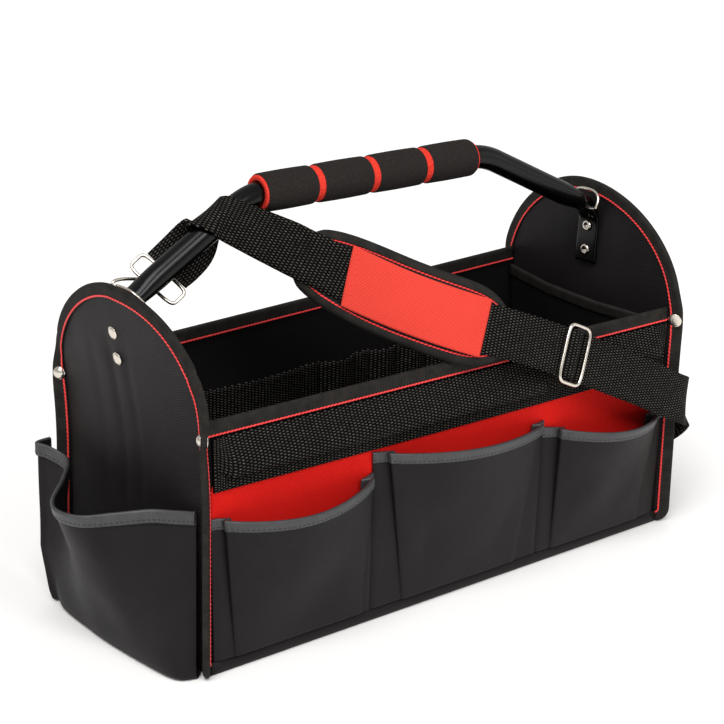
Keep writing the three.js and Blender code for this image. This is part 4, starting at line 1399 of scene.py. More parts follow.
@dataclass(frozen=True)
class RedPanel:
    """The red cloth that shows between the band and the pockets."""

    foot: float = 10.8
    top: float = 172
    low_inset: float = 7.5
    inset: float = 3.5
    thickness: float = 0.6
    out: float = 0.6
    unevenness: float = 0.3
    wave_size: float = 25
    shown_from: tuple[float, float] = (108, 116)
    shown_to: tuple[float, float] = (140, 148)

    def place(self, u: float, v: float) -> Vector:
        """A place on the inside of the cloth, which nears the corners only where it shows.

        Args:
            u: The share along the cloth.
            v: The share up it.

        Returns:
            The place.
        """
        z = lerp(self.foot, self.top, v)
        shows = smoothstep(z, *self.shown_from) * (1 - smoothstep(z, *self.shown_to))
        inset = lerp(self.low_inset, self.inset, shows)
        x = lerp(FRONT.left.at(z)[0] + inset, FRONT.right.at(z)[0] - inset, u)
        return FRONT.face(x, z, self.out + self.unevenness * ripple(Vector((x, 0, z)), self.wave_size))

    def build(self) -> None:
        """Makes the cloth."""
        panel = cloth("red_panel_cloth", self.place, 120, 50, FRONT.outward, self.thickness, 1.0)
        dress(panel, RED_CLOTH, "front_red_panel")


FRONT_POCKETS = (
    FrontPocket("left", flange_left=-221.5, flange_right=-78.3, left=-216, right=-81, foot_left=-203,
                foot_right=-89, top_left=-213, top_right=-84, mouth_left=119, mouth_middle=114,
                mouth_right=120, crease=8, bulge=17),
    FrontPocket("middle", flange_left=-77.7, flange_right=90.7, left=-75, right=88, foot_left=-47,
                foot_right=66, top_left=-66, top_right=84, mouth_left=136, mouth_middle=127,
                mouth_right=123, crease=7, bulge=15),
    FrontPocket("right", flange_left=91.3, flange_right=225, left=94, right=214, foot_left=108,
                foot_right=204, top_left=105, top_right=210, mouth_left=117, mouth_middle=107,
                mouth_right=103, crease=9, bulge=17),
)


# Pockets on and in the ends

@dataclass(frozen=True)
class EndPocket:
    """The slack pocket on the left end. Its columns run from the front to the back seam."""

    # Columns: y, distance out and height of the mouth, y and distance out of the foot, and the share of
    # that left at the floor where the pocket draws in
    columns: tuple[tuple[float, ...], ...] = (
        (-78, 3.4, 124, -87, 8, 1),
        (-62, 9, 121, -83, 19, 1),
        (-45, 19, 119, -72, 24, 1),
        (-30, 40, 117, -48, 26, 1),
        (-17, 60, 116, -22, 27, 1),
        (2, 66, 116, 5, 27, 1),
        (18, 59, 117, 30, 25, 1),
        (40, 36, 120, 52, 24, 0.95),
        (62, 18, 124, 70, 24, 0.8),
        (80, 22, 129, 82, 25, 0.5),
        (89, 27, 131, 87, 26, 0.62),
        (91, 14.5, 131, 89, 12.5, 1),
    )
    # Side view from the seam under the pocket to its mouth: height, outward swell and tuck as shares
    profile: tuple[tuple[float, ...], ...] = (
        (0.012, 0, 0.004),
        (0.008, 0, 0.8),
        (0.06, 0, 1),
        (0.24, 0.12, 1),
        (0.48, 0.36, 1),
        (0.72, 0.66, 1),
        (0.92, 0.9, 1),
        (1, 1, 1),
    )
    drawn: float = 50.0
    leg: float = 9.0
    sewn_up: float = 2.4
    waves: float = 2.2
    wave_size: float = 38.0

    def place(self, u: float, v: float) -> Vector:
        """A place on the inside of the pocket's cloth.

        Args:
            u: The share across the pocket, from back to front.
            v: The share up it.

        Returns:
            The place.
        """
        mouth_y, mouth_out, mouth_z, foot_y, foot_out, low = smooth_row(self.columns, 1 - u)
        rise, swell, tuck = smooth_row(self.profile, v)
        z = rise * mouth_z
        y = lerp(foot_y, mouth_y, swell) * lerp(0.94, 1, clamp(tuck))
        out = lerp(foot_out, mouth_out, swell) * max(0.0, tuck)
        out = max(0.0, out * lerp(low, 1, clamp(z / self.drawn) ** 0.8))
        free = math.sin(math.pi * clamp(u, 0.02, 0.98)) * smoothstep(v, 0.2, 0.5)
        free *= 1 - smoothstep(v, 0.8, 1)
        out += self.waves * free * ripple(Vector((y, z, 7)), self.wave_size)
        return Vector((LEFT_END.front.at(z)[0] - 2 * GAP - out, y, z))

    def build(self) -> None:
        """Makes the pocket, its grey binding and the black stitches in the binding."""
        edge = cloth_edge(self.place, POCKET_CLOTH)
        half = POCKET_CLOTH / 2 + TAPE
        pocket = cloth("end_pocket_cloth", self.place, 110, 64, LEFT_END.outward, POCKET_CLOTH, 1.0)
        dress(pocket, BLACK_CLOTH, "left_end_pocket")
        bind("end_pocket_tape", "left_end_pocket_binding", GREY_TAPE, edge, self.leg, half, 132, 14)
        FINE_ROW.sew_edge("end_pocket_stitches", BLACK_THREAD, edge, self.leg - self.sewn_up,
                          half + FINE_LIFT)


@dataclass(frozen=True)
class InnerPocket:
    """A flat pocket inside an end, standing in from the panel at the front, the middle and the back."""

    end: EndPanel
    stand_front: float
    stand_middle: float
    stand_back: float
    stand_foot: float = 0.1
    foot: float = 62
    mouth: float = 184
    side_gap: float = 4.6
    leg: float = 8.5
    tape_room: float = 0.4

    def place(self, u: float, v: float) -> Vector:
        """A place on the face of the pocket's cloth that lies to the end panel.

        Args:
            u: The share across the pocket.
            v: The share up it.

        Returns:
            The place.
        """
        share = u if self.end.sign < 0 else 1 - u
        z = lerp(self.foot, self.mouth, v)
        front_y, back_y = self.end.front.at(z)[1], self.end.back.at(z)[1]
        y = lerp(front_y + self.side_gap, back_y - self.side_gap, share)
        slack = self.stand_middle - (self.stand_front + self.stand_back) / 2
        stand = lerp(self.stand_front, self.stand_back, share) + slack * math.sin(math.pi * share)
        along = (y - front_y) / (back_y - front_y)
        inside = self.end.face(self.end.fin + along * self.end.depth, z).x - self.end.sign * PANEL
        return Vector((inside - self.end.sign * (GAP + lerp(self.stand_foot, stand, v)), y, z))

    def build(self) -> None:
        """Makes the pocket and its black binding."""
        edge = cloth_edge(self.place, POCKET_CLOTH)
        half = POCKET_CLOTH / 2 + TAPE + self.tape_room
        name = f"{self.end.name}_inner_pocket"
        pocket = cloth(f"{name}_cloth", self.place, 48, 30, -self.end.outward, POCKET_CLOTH, 1.0)
        dress(pocket, DARK_CLOTH, name)
        bind(f"{name}_tape", f"{name}_binding", BLACK_TAPE, edge, self.leg, half, 90, 14)


@dataclass(frozen=True)
class LoopStrip:
    """Webbing on the inside of the back wall, sewn down in places so that it stands out in loops."""

    foot: float = 96
    top: float = 140
    out: float = 0.5
    # Columns: x where it is sewn down, and the depth of the loop to the right of it
    loops: tuple[tuple[float, float], ...] = (
        (-194, 3), (-100, 5), (-4, 0.6), (12, 9), (47, 1), (62, 9), (92, 9), (124, 8), (158, 6), (190, 0),
    )

    def place(self, u: float, v: float) -> Vector:
        """A place on the strip's face that lies to the wall.

        Args:
            u: The share along the strip, loop by loop.
            v: The share up it.

        Returns:
            The place.
        """
        index, part = step_along(u, len(self.loops) - 1)
        x = lerp(self.loops[index][0], self.loops[index + 1][0], part)
        out = self.out + self.loops[index][1] * math.sin(math.pi * part) ** 0.8
        return BACK.face(x, lerp(self.foot, self.top, v), -CLOTH - out)

    def build(self) -> None:
        """Makes the strip."""
        strip = cloth("loop_strip_webbing", self.place, 180, 12, -BACK.outward, WEBBING, 1.0)
        dress(strip, BLACK_WEBBING, "inner_loop_strip")


# Handle

@dataclass(frozen=True)
class Station:
    """A place along the handle's tube and its section there. A square of 1 is round."""

    x: float
    z: float
    wide: float
    thick: float
    square: float


@dataclass(frozen=True)
class Handle:
    """The bent tube with its flattened, riveted ends, and the foam grip on it."""

    tube: float = 18.5
    tube_gap: float = 0.4
    tab_wide: float = 22.0
    tab_thick: float = 3.0
    tab_gap: float = 0.7
    tab_foot: float = 207.0
    tab_middle: float = 225.0
    tab_top: float = 243.0
    tab_square: float = 0.4
    neck_rise: float = 14.0
    # Columns: width, thickness and square of the section, halfway to the neck and at the neck
    shoulder: tuple[float, float, float] = (21.5, 8.0, 0.75)
    neck: tuple[float, float, float] = (20.0, 13.0, 0.9)
    left_bend: tuple[float, float] = (-119.5, 318.0)
    right_bend: tuple[float, float] = (105.0, 314.2)
    left_neck_inset: float = 11.0
    right_neck_inset: float = 6.5
    skew_middle: float = -0.5
    skew_slope: float = -0.02
    bend_run: float = 16.0
    grip_left: float = -112.5
    grip_right: float = 91.5
    core: float = 26.6
    core_soft: float = 1.2
    sleeve: float = 29.0
    sleeve_soft: float = 2.4
    sleeves: int = 4
    sleeve_swell: float = 0.25
    groove: float = 5.0
    end_bare: float = 1.2

    def y(self, x: float) -> float:
        """The tube's y at a place along the bag."""
        return self.skew_middle + self.skew_slope * x

    def upper(self, x: float) -> Vector:
        """A place on the tube's upper run between its bends."""
        (left_x, left_z), (right_x, right_z) = self.left_bend, self.right_bend
        return Vector((x, self.y(x), lerp(left_z, right_z, (x - left_x) / (right_x - left_x))))

    def bend(self, end: EndPanel) -> tuple[float, float]:
        """The x and z of the tube's bend towards an end."""
        return self.left_bend if end.sign < 0 else self.right_bend

    def panel_inside(self, end: EndPanel, z: float) -> Vector:
        """Where the handle meets the inside of an end panel.

        Args:
            end: The end.
            z: The height.

        Returns:
            The place.
        """
        front_x, front_y = end.front.at(z)
        along = (self.y(front_x) - front_y) / (end.back.at(z)[1] - front_y)
        x = end.face(end.fin + along * end.depth, z).x - end.sign * PANEL
        return Vector((x, self.y(x), z))

    def tab_x(self, end: EndPanel, z: float) -> float:
        """The middle of the flattened end at a height."""
        return self.panel_inside(end, z).x - end.sign * (self.tab_gap + self.tab_thick / 2)

    def neck_at(self, end: EndPanel) -> tuple[float, float]:
        """The x and z of the neck above a flattened end, where the tube is nearly round again."""
        inset = self.left_neck_inset if end.sign < 0 else self.right_neck_inset
        return self.tab_x(end, self.tab_top) - end.sign * inset, self.tab_top + self.neck_rise

    def half(self, end: EndPanel) -> list[Station]:
        """Half of the tube.

        Args:
            end: The end that it is riveted to.

        Returns:
            The stations from the flattened end up to the upper run.
        """
        bend_x, bend_z = self.bend(end)
        neck_x, neck_z = self.neck_at(end)
        top_x = self.tab_x(end, self.tab_top)
        tab = self.tab_wide, self.tab_thick
        keys = [(self.tab_x(end, self.tab_foot), self.tab_foot, *tab, self.tab_square),
                (self.tab_x(end, self.tab_middle), self.tab_middle, *tab, self.tab_square),
                (top_x, self.tab_top, *tab, self.tab_square + 0.05),
                (lerp(top_x, neck_x, 0.4), lerp(self.tab_top, neck_z, 0.55), *self.shoulder),
                (neck_x, neck_z, *self.neck)]
        stations = [Station(*smooth_row(keys, i / 24)) for i in range(25)]
        run = Vector((bend_x - neck_x, bend_z - neck_z)).normalized() * self.bend_run
        start = Vector((bend_x, bend_z)) - run
        level = self.upper(bend_x - end.sign * self.bend_run)
        round_section = self.tube, self.tube, 1.0
        steps = 12
        for i in range(1, steps):
            t = i / steps
            swelled = smoothstep(t, 0.0, 0.25)
            section = [lerp(a, b, swelled) for a, b in zip(self.neck, round_section)]
            stations.append(Station(lerp(neck_x, start.x, t), lerp(neck_z, start.y, t), *section))
        for i in range(steps + 1):
            t = i / steps
            x = (1 - t) ** 2 * start.x + 2 * t * (1 - t) * bend_x + t ** 2 * level.x
            z = (1 - t) ** 2 * start.y + 2 * t * (1 - t) * bend_z + t ** 2 * level.z
            stations.append(Station(x, z, *round_section))
        return stations

    def skin(self, stations: Sequence[Station], index: int, turn: float) -> Vector:
        """A place on the tube's skin.

        Args:
            stations: The tube's stations.
            index: The station.
            turn: The share of a turn round the tube there.

        Returns:
            The place.
        """
        here = stations[index]
        before, after = stations[max(0, index - 1)], stations[min(len(stations) - 1, index + 1)]
        along = Vector((after.x - before.x, 0, after.z - before.z)).normalized()
        up = Vector((-along.z, 0, along.x))
        wide = signed_power(math.cos(math.tau * turn), here.square) * here.wide / 2
        thick = signed_power(math.sin(math.tau * turn), here.square) * here.thick / 2
        return Vector((here.x, self.y(here.x) + wide, here.z)) + up * thick

    def ring(self, name: str, length: float, outer: float, soft: float, middle: float) -> Piece:
        """A foam ring on the tube's upper run.

        Args:
            name: The ring's name.
            length: Along the tube.
            outer: Its outer diameter.
            soft: How far its ends are rounded.
            middle: The x of its middle.

        Returns:
            The ring.
        """
        bore, half, radius = self.tube / 2 + self.tube_gap, length / 2, outer / 2
        angles = [math.pi / 10 * i for i in range(6)]
        low = [(radius - soft + soft * math.sin(a), -half + soft - soft * math.cos(a)) for a in angles]
        high = [(r, -height) for r, height in reversed(low)]
        body = []
        for i in range(1, 6):
            swollen = radius + self.sleeve_swell * math.sin(math.pi * i / 6)
            body.append((swollen, lerp(-half + soft, half - soft, i / 6)))
        profile = [(bore, -half), *low, *body, *high, (bore, half), (bore, -half)]
        along = (self.upper(self.grip_right) - self.upper(self.grip_left)).normalized()
        return turned(name, profile, self.upper(middle), along, 40)

    def build_tube(self) -> None:
        """Makes the tube from its stations, with both flattened ends closed."""
        stations = [*self.half(LEFT_END), *reversed(self.half(RIGHT_END))]
        last, sides = len(stations) - 1, 24
        bm = bmesh.new()
        bmesh.ops.create_grid(bm, x_segments=last, y_segments=sides, size=0.5)
        for vert in bm.verts:
            vert.co = self.skin(stations, round((vert.co.x + 0.5) * last), vert.co.y + 0.5) * MM
        bmesh.ops.remove_doubles(bm, verts=bm.verts, dist=1e-6)
        bmesh.ops.holes_fill(bm, edges=[edge for edge in bm.edges if edge.is_boundary], sides=0)
        bmesh.ops.recalc_face_normals(bm, faces=bm.faces)
        dress(to_object("handle_steel_tube", bm), BLACK_PAINT, "handle_tube")

    def build(self) -> None:
        """Makes the tube, the red core of the grip and its black sleeves."""
        self.build_tube()
        length = self.grip_right - self.grip_left
        middle = (self.grip_left + self.grip_right) / 2
        core = self.ring("grip_red_foam", length, self.core, self.core_soft, middle)
        dress(core, RED_FOAM, "grip_core")
        pitch = (length - 2 * self.end_bare + self.groove) / self.sleeves
        long = pitch - self.groove
        for i in range(self.sleeves):
            centre = self.grip_left + self.end_bare + i * pitch + long / 2
            sleeve = self.ring(f"grip_black_foam_{i + 1}", long, self.sleeve, self.sleeve_soft, centre)
            dress(sleeve, BLACK_FOAM, f"grip_sleeve_{i + 1}")


HANDLE = Handle()


# Fastenings

@dataclass(frozen=True)
class Fastenings:
    """The rivets and the two D rings."""

    head: float = 10.0
    shank: float = 1.8
    handle_dome: float = 1.6
    corner_dome: float = 2.8
    corner_cap: float = 11.6
    handle_heights: tuple[tuple[str, float], ...] = (("lower", 217.0), ("upper", 237.0))
    corner_height: float = 181.0
    corner_share: float = 0.52
    corner_tape: float = 1.2
    ring_half: float = 15.5
    ring_below: float = 2.6
    ring_above: float = 12.0
    ring_wire: float = 2.5
    # How far along the bag each ring is, and how far it leans towards its end
    left_ring: tuple[float, float] = (222.0, math.radians(6))
    right_ring: tuple[float, float] = (216.0, 0.0)

    def eyelet(self, layers: float) -> Profile:
        """A rolled eyelet behind what a rivet holds.

        Args:
            layers: The thickness of cloth and steel.

        Returns:
            Its profile.
        """
        head = self.head / 2
        return [(head * 0.88, -layers - 0.05), (head * 0.92, -layers - 0.7), (head * 0.7, -layers - 1.3),
                (head * 0.45, -layers - 1.2), (head * 0.36, -layers - 0.5), (0, -layers - 0.45)]

    def cap(self, layers: float) -> Profile:
        """A flat round cap behind what a rivet holds.

        Args:
            layers: The thickness of cloth.

        Returns:
            Its profile.
        """
        cap = self.corner_cap / 2
        return [(cap * 0.95, -layers - 0.05), (cap, -layers - 0.4), (cap * 0.92, -layers - 0.8),
                (cap * 0.5, -layers - 1.0), (0, -layers - 1.05)]

    def rivet(self, node: str, at: Vector, axis: Vector, layers: float, dome: float, tail: Profile) -> None:
        """Makes a rivet with a domed head on a thin washer outside.

        Args:
            node: The solid that it stands for.
            at: The middle of the head's foot.
            axis: The way that the head faces.
            layers: What the rivet holds together.
            dome: How far the head stands up.
            tail: The profile behind it.
        """
        head = self.head / 2
        profile = [(0, dome), (head * 0.3, dome * 0.96), (head * 0.6, dome * 0.78),
                   (head * 0.8, dome * 0.5), (head * 0.86, 0.5), (head, 0.45), (head, 0.05),
                   (self.shank, 0.0), (self.shank, -layers), *tail]
        dress(turned(f"{node}_metal", profile, at, axis, 28), NICKEL, node)

    def ring_frame(self, end: EndPanel) -> tuple[Vector, Vector, Vector]:
        """Where a D ring is.

        Args:
            end: The end of the handle that it is at.

        Returns:
            Its middle on the tube, its upward direction and the way square to it.
        """
        neck_x, neck_z = HANDLE.neck_at(end)
        bend_x, bend_z = HANDLE.bend(end)
        reach, lean = self.left_ring if end.sign < 0 else self.right_ring
        along = Vector((bend_x - neck_x, 0, bend_z - neck_z)).normalized()
        upright = Vector((end.sign * along.z, 0, abs(along.x)))
        x = end.sign * reach
        at = Vector((x, HANDLE.y(x), lerp(neck_z, bend_z, (x - neck_x) / (bend_x - neck_x))))
        up = upright * math.cos(lean) - along * math.sin(lean)
        return at, up, along * math.cos(lean) + upright * math.sin(lean)

    def ring_place(self, end: EndPanel, angle: float) -> Vector:
        """A place on a D ring's middle line.

        Args:
            end: The end of the handle that the ring is at.
            angle: The angle round the ring, from its side at the back up over its top.

        Returns:
            The place.
        """
        at, up, _ = self.ring_frame(end)
        sin = math.sin(angle)
        rise = self.ring_above * sin ** 0.75 if sin >= 0 else -self.ring_below * abs(sin) ** 0.3
        return at + Vector((0, self.ring_half * signed_power(math.cos(angle), 0.75), 0)) + up * rise

    def d_ring(self, end: EndPanel) -> None:
        """Makes the D ring whose bar runs through the tube.

        Args:
            end: The end of the handle that it is at.
        """
        path = [self.ring_place(end, math.tau * i / 72) for i in range(72)]
        ring = wire(f"{end.name}_d_ring_wire", path, self.ring_frame(end)[2], self.ring_wire)
        dress(ring, NICKEL, f"d_ring_{end.name}")

    def build(self) -> None:
        """Makes all of them."""
        handle_layers = PANEL + HANDLE.tab_gap + HANDLE.tab_thick
        corner_layers = PANEL + 2 * self.corner_tape
        for end in (LEFT_END, RIGHT_END):
            for word, z in self.handle_heights:
                low, high = HANDLE.panel_inside(end, z - 1), HANDLE.panel_inside(end, z + 1)
                axis = Vector((end.sign, 0, -end.sign * (high.x - low.x) / 2)).normalized()
                at = HANDLE.panel_inside(end, z) + axis * PANEL
                self.rivet(f"handle_rivet_{end.name}_{word}", at, axis, handle_layers, self.handle_dome,
                           self.eyelet(handle_layers))
            inset = (1 - self.corner_share) * end.fin
            for word, across in (("front", inset), ("back", end.width - inset)):
                axis = end.normal(across, self.corner_height)
                at = end.face(across, self.corner_height) + axis * self.corner_tape
                self.rivet(f"corner_rivet_{end.name}_{word}", at, axis, corner_layers, self.corner_dome,
                           self.cap(corner_layers))
            self.d_ring(end)


FASTENINGS = Fastenings()


# Strap

@dataclass(frozen=True)
class Strap:
    """The shoulder strap with its pad, its red patch, its slider and its end rings and hooks.

    Places of the pad and the patch along the strap are in steps of the whole strap.
    """

    wide: float = 38.0
    steps: int = 66
    pad_from: float = 23.4
    pad_to: float = 32.6
    pad_wide: float = 62.0
    pad_thick: float = 7.0
    pad_long: float = 164.0
    pad_gap: float = 0.4
    pad_round: float = 5.0
    pad_tape: float = 6.0
    pad_tape_thick: float = 0.6
    pad_taper: float = 0.46
    pad_middle: float = 0.42
    pad_sewn_at: float = 6.6
    pad_sewn_from: float = 0.06
    patch_from: float = 25
    patch_to: float = 31
    patch_wide: float = 44.0
    patch_lag: float = 0.4
    patch_thick: float = 0.8
    patch_crown: float = 0.8
    slider_at: float = 0.5845
    slider_long: float = 45.0
    slider_short: float = 24.0
    slider_gap: float = 0.5
    slider_lift: float = 3.0
    slider_fold: float = 5.2
    slider_dip: float = 2.6
    slider_slot: float = 2.2
    ring_long: float = 43.0
    ring_short: float = 15.0
    ring_wire: float = 2.7
    ring_square: float = 0.36
    hook_reach: float = 3.9
    hook_short: float = 10.6
    hook_wire: float = 2.6
    hook_square: float = 0.6
    hooked_at: float = math.radians(53)
    free_hook: float = 30.0
    slip: float = 5.0
    gather: float = 0.3
    slip_run: tuple[float, float] = (0.05, 0.14)
    gather_run: tuple[float, float] = (0.07, 0.13)
    spread_run: tuple[float, float] = (0.26, 0.34)
    # Columns: the middle of the webbing, and the way across it
    route: tuple[tuple[float, ...], ...] = (
        (-185, 19.5, 272, 0.35, -0.76, -0.55),
        (-171, 19, 281, 0.6, -0.5, -0.5),
        (-152.1, 14, 299.7, 0.99, 0, 0.142),
        (-153.2, 10.4, 308.3, 0.934, 0.265, 0.237),
        (-151.6, 2.4, 312.2, 0.801, 0.375, 0.466),
        (-147.2, -5.1, 311.2, 0.668, 0.265, 0.695),
        (-140.5, -8.3, 306.5, 0.613, 0, 0.79),
        (-111, -19, 287, 0.62, -0.18, 0.72),
        (-86, -30, 271, 0.6, -0.14, 0.76),
        (-27, -63, 236, 0.43, 0.05, 0.9),
        (8, -97, 220, 0.42, 0.1, 0.9),
        (44, -107, 206, 0.4, 0.2, 0.88),
        (74, -110, 193, 0.36, 0.2, 0.9),
        (108, -112, 177, 0.32, 0.18, 0.93),
        (140, -114, 161, 0.32, 0.14, 0.93),
        (180, -115.5, 141, 0.32, 0.08, 0.94),
        (215, -115, 122, 0.3, 0.1, 0.94),
        (235, -111, 112, 0.26, 0.16, 0.94),
        (245, -98, 104, 0.1, 0.35, 0.92),
        (245.5, -86, 90, 0.02, 0.6, 0.8),
        (241.5, -68, 76, 0, 0.6, 0.8),
        (239.5, -42, 62, 0, 0.5, 0.86),
        (240.5, -14, 50, 0, 0.45, 0.89),
    )

    def middle(self, t: float) -> Vector:
        """The middle of the webbing, on a centripetal curve through the route.

        Args:
            t: The place along the strap, from 0 to 1.

        Returns:
            The place.
        """
        points = [Vector(row[:3]) for row in self.route]
        place = clamp(t) * (len(points) - 1)
        i = min(len(points) - 2, int(place))
        w = place - i
        before = points[i - 1] if i > 0 else points[0] * 2 - points[1]
        after = points[i + 2] if i + 2 < len(points) else points[-1] * 2 - points[-2]
        run = [before, points[i], points[i + 1], after]
        d0, d1, d2 = (max(1e-4, (b - a).length ** 0.5) for a, b in zip(run, run[1:]))
        start = ((run[1] - run[0]) / d0 - (run[2] - run[0]) / (d0 + d1) + (run[2] - run[1]) / d1) * d1
        stop = ((run[2] - run[1]) / d1 - (run[3] - run[1]) / (d1 + d2) + (run[3] - run[2]) / d2) * d1
        second = (run[2] - run[1]) * 3 - start * 2 - stop
        third = (run[1] - run[2]) * 2 + start + stop
        return run[1] + w * (start + w * (second + w * third))

    def axes(self, t: float) -> tuple[Vector, Vector, Vector, Vector]:
        """The webbing's own axes.

        Args:
            t: The place along the strap, from 0 to 1.

        Returns:
            The middle of the webbing, and the ways along it, across it and off its outer face.
        """
        step = 1e-3
        along = (self.middle(min(1.0, t + step)) - self.middle(max(0.0, t - step))).normalized()
        across = Vector(smooth_row(self.route, t)[3:])
        across = (across - along * across.dot(along)).normalized()
        slipped = self.slip * (1 - smoothstep(t, *self.slip_run))
        return self.middle(t) + across * slipped, along, across, along.cross(across)

    def place(self, t: float, side: float, off: float) -> Vector:
        """A place on the strap, whose upper side is gathered where it leaves the handle.

        Args:
            t: The place along the strap, from 0 to 1.
            side: The distance across it from its middle.
            off: The distance off its outer face from its middle.

        Returns:
            The place.
        """
        at, _, across, normal = self.axes(t)
        if side > 0:
            drawn = self.gather * smoothstep(t, *self.gather_run) * (1 - smoothstep(t, *self.spread_run))
            side *= 1 - drawn
        return at + across * side + normal * off

    def build_webbing(self) -> None:
        """Makes the webbing, which dips at the slider's sides and rises inside it."""
        step = 0.01
        pace = (self.middle(self.slider_at + step) - self.middle(self.slider_at - step)).length / (2 * step)

        def outer_face(u: float, v: float) -> Vector:
            """A place on the webbing's outer face.

            Args:
                u: The place along the strap, from 0 to 1.
                v: The share across it.

            Returns:
                The place.
            """
            near = abs(u - self.slider_at) * pace
            slot = near - self.slider_short / 2 + self.slider_slot
            lift = self.slider_lift * math.exp(-(near / self.slider_fold) ** 4)
            lift -= self.slider_dip * math.exp(-(slot / self.slider_slot) ** 2)
            return self.place(u, (v - 0.5) * self.wide, WEBBING / 2 + lift)

        strap = cloth("strap_webbing", outer_face, 560, 10, self.axes(0.5)[3], WEBBING)
        dress(strap, BLACK_WEBBING, "shoulder_strap")

    def frame_wire(self, name: str, at: Vector, across: Vector, along: Vector, long: float,
                   short: float) -> Piece:
        """A wire rectangle with round corners.

        Args:
            name: Its name.
            at: Its middle.
            across: The way across the strap, which its length follows.
            along: The way along the strap.
            long: Its length.
            short: Its width.

        Returns:
            The rectangle.
        """
        path = squared_loop(at, across, along, long, short, self.ring_square, 80)
        return wire(name, path, across.cross(along), self.ring_wire)

    def build_slider(self) -> None:
        """Makes the slider, which lies on the webbing's outer face."""
        at, along, across, normal = self.axes(self.slider_at)
        off = WEBBING / 2 + self.slider_gap + self.ring_wire / 2
        slider = self.frame_wire("slider_wire", at + normal * off, across, along, self.slider_long,
                                 self.slider_short)
        dress(slider, NICKEL, "strap_slider")

    def hook(self, name: str, start: Vector, stop: Vector, square: Vector) -> Piece:
        """An oval hook closed round two places.

        Args:
            name: Its name.
            start: What one end holds.
            stop: What the other end holds.
            square: A direction that the hook lies square to.

        Returns:
            The hook.
        """
        along = (stop - start).normalized()
        long = (stop - start).length + 2 * self.hook_reach
        normal = (square - along * square.dot(along)).normalized()
        middle = start.lerp(stop, 0.5)
        path = squared_loop(middle, along, normal.cross(along), long, self.hook_short, self.hook_square, 64)
        return wire(name, path, normal, self.hook_wire)

    def build_ends(self) -> None:
        """Makes the ring and the hook at each end. The left hook holds the left D ring."""
        ahead = self.ring_short / 2 + self.ring_wire / 2 + GAP
        bar = self.ring_short + self.ring_wire / 2 + GAP
        for word, t, way in (("left", 0.0, -1), ("right", 1.0, 1)):
            at, along, across, _ = self.axes(t)
            middle, held = at + along * (way * ahead), at + along * (way * bar)
            ring = self.frame_wire(f"{word}_ring_wire", middle, across, along, self.ring_long,
                                   self.ring_short)
            dress(ring, NICKEL, f"strap_ring_{word}")
            if way < 0:
                hooked = FASTENINGS.ring_place(LEFT_END, self.hooked_at)
                hook = self.hook(f"{word}_hook_wire", hooked, held, Vector((0, 1, 0)))
            else:
                hook = self.hook(f"{word}_hook_wire", held, held + along * self.free_hook, across)
            dress(hook, NICKEL, f"strap_hook_{word}")

    def pad_t(self, u: float) -> float:
        """The place along the strap at a share along the pad."""
        return lerp(self.pad_from, self.pad_to, u) / self.steps

    def pad_edge(self, u: float) -> float:
        """Half the pad's width at a share along it."""
        return self.pad_wide / 2 * (1 - self.pad_taper * abs(2 * u - 1) ** 4)

    def pad_place(self, u: float, side: float, face: float) -> Vector:
        """A place on the pad.

        Args:
            u: The share along the pad.
            side: The share across it, from -1 to 1.
            face: 1 on the face to the strap, -1 on the face to the shoulder, and 0 in the middle.

        Returns:
            The place.
        """
        half = self.pad_edge(u)
        rim = min(half * (1 - abs(side)), 1.1 * self.pad_wide * min(u, 1 - u))
        round_off = math.sqrt(max(0.0, 1 - (1 - clamp(rim / self.pad_round)) ** 2))
        thick = self.pad_thick * (1 - 0.3 * abs(side) ** 3)
        middle = -WEBBING / 2 - self.pad_gap - thick / 2
        return self.place(self.pad_t(u), side * half, middle + face * round_off * thick / 2)

    def pad_rim(self, u: float, v: float) -> Vector:
        """A place on the binding round the pad's rim.

        Args:
            u: The share round the rim.
            v: The share from the binding's upper to its lower foot.

        Returns:
            The place.
        """
        way = 4 * (u % 1.0)
        share, lap = way % 1.0, int(way)
        along, side = ((share, 1.0), (1.0, 1 - 2 * share), (1 - share, -1.0), (0.0, 2 * share - 1))[lap]
        inward = abs(2 * v - 1) * self.pad_tape
        along = 0.5 + (along - 0.5) * (1 - inward / (self.pad_long / 2))
        side *= 1 - inward / self.pad_edge(along)
        return self.pad_place(along, side, clamp((1 - 2 * v) * 4, -1.0, 1.0))

    def build_pad(self) -> None:
        """Makes the padded cushion under the strap, its binding and its two rows of red stitches."""
        bm = bmesh.new()
        for face in (1, -1):
            layer = bmesh.ops.create_grid(bm, x_segments=72, y_segments=28, size=0.5)
            for vert in layer["verts"]:
                vert.co = self.pad_place(vert.co.x + 0.5, 2 * vert.co.y, face) * MM
        bmesh.ops.remove_doubles(bm, verts=bm.verts, dist=2e-5)
        bmesh.ops.recalc_face_normals(bm, faces=bm.faces)
        dress(to_object("strap_pad_cushion", bm), BLACK_CLOTH, "strap_pad")
        outward = self.axes(self.pad_middle)[3]
        dress(cloth("strap_pad_tape", self.pad_rim, 200, 12, outward, self.pad_tape_thick, 1.0), BLACK_TAPE)
        for side, word in ((1, "upper"), (-1, "lower")):
            def line(s: float, side: int = side) -> tuple[Vector, Vector]:
                """A place on a row a little in from the pad's edge, and the way off the pad there.

                Args:
                    s: The share along the row.
                    side: 1 for the upper row and -1 for the lower one.

                Returns:
                    The place and the direction.
                """
                u = lerp(self.pad_sewn_from, 1 - self.pad_sewn_from, s)
                inset = 1 - self.pad_sewn_at / self.pad_edge(u)
                return self.pad_place(u, side * inset, 1.0), self.axes(self.pad_t(u))[3]

            dress(RED_ROW.sew(f"strap_pad_{word}_stitches", line), RED_THREAD)

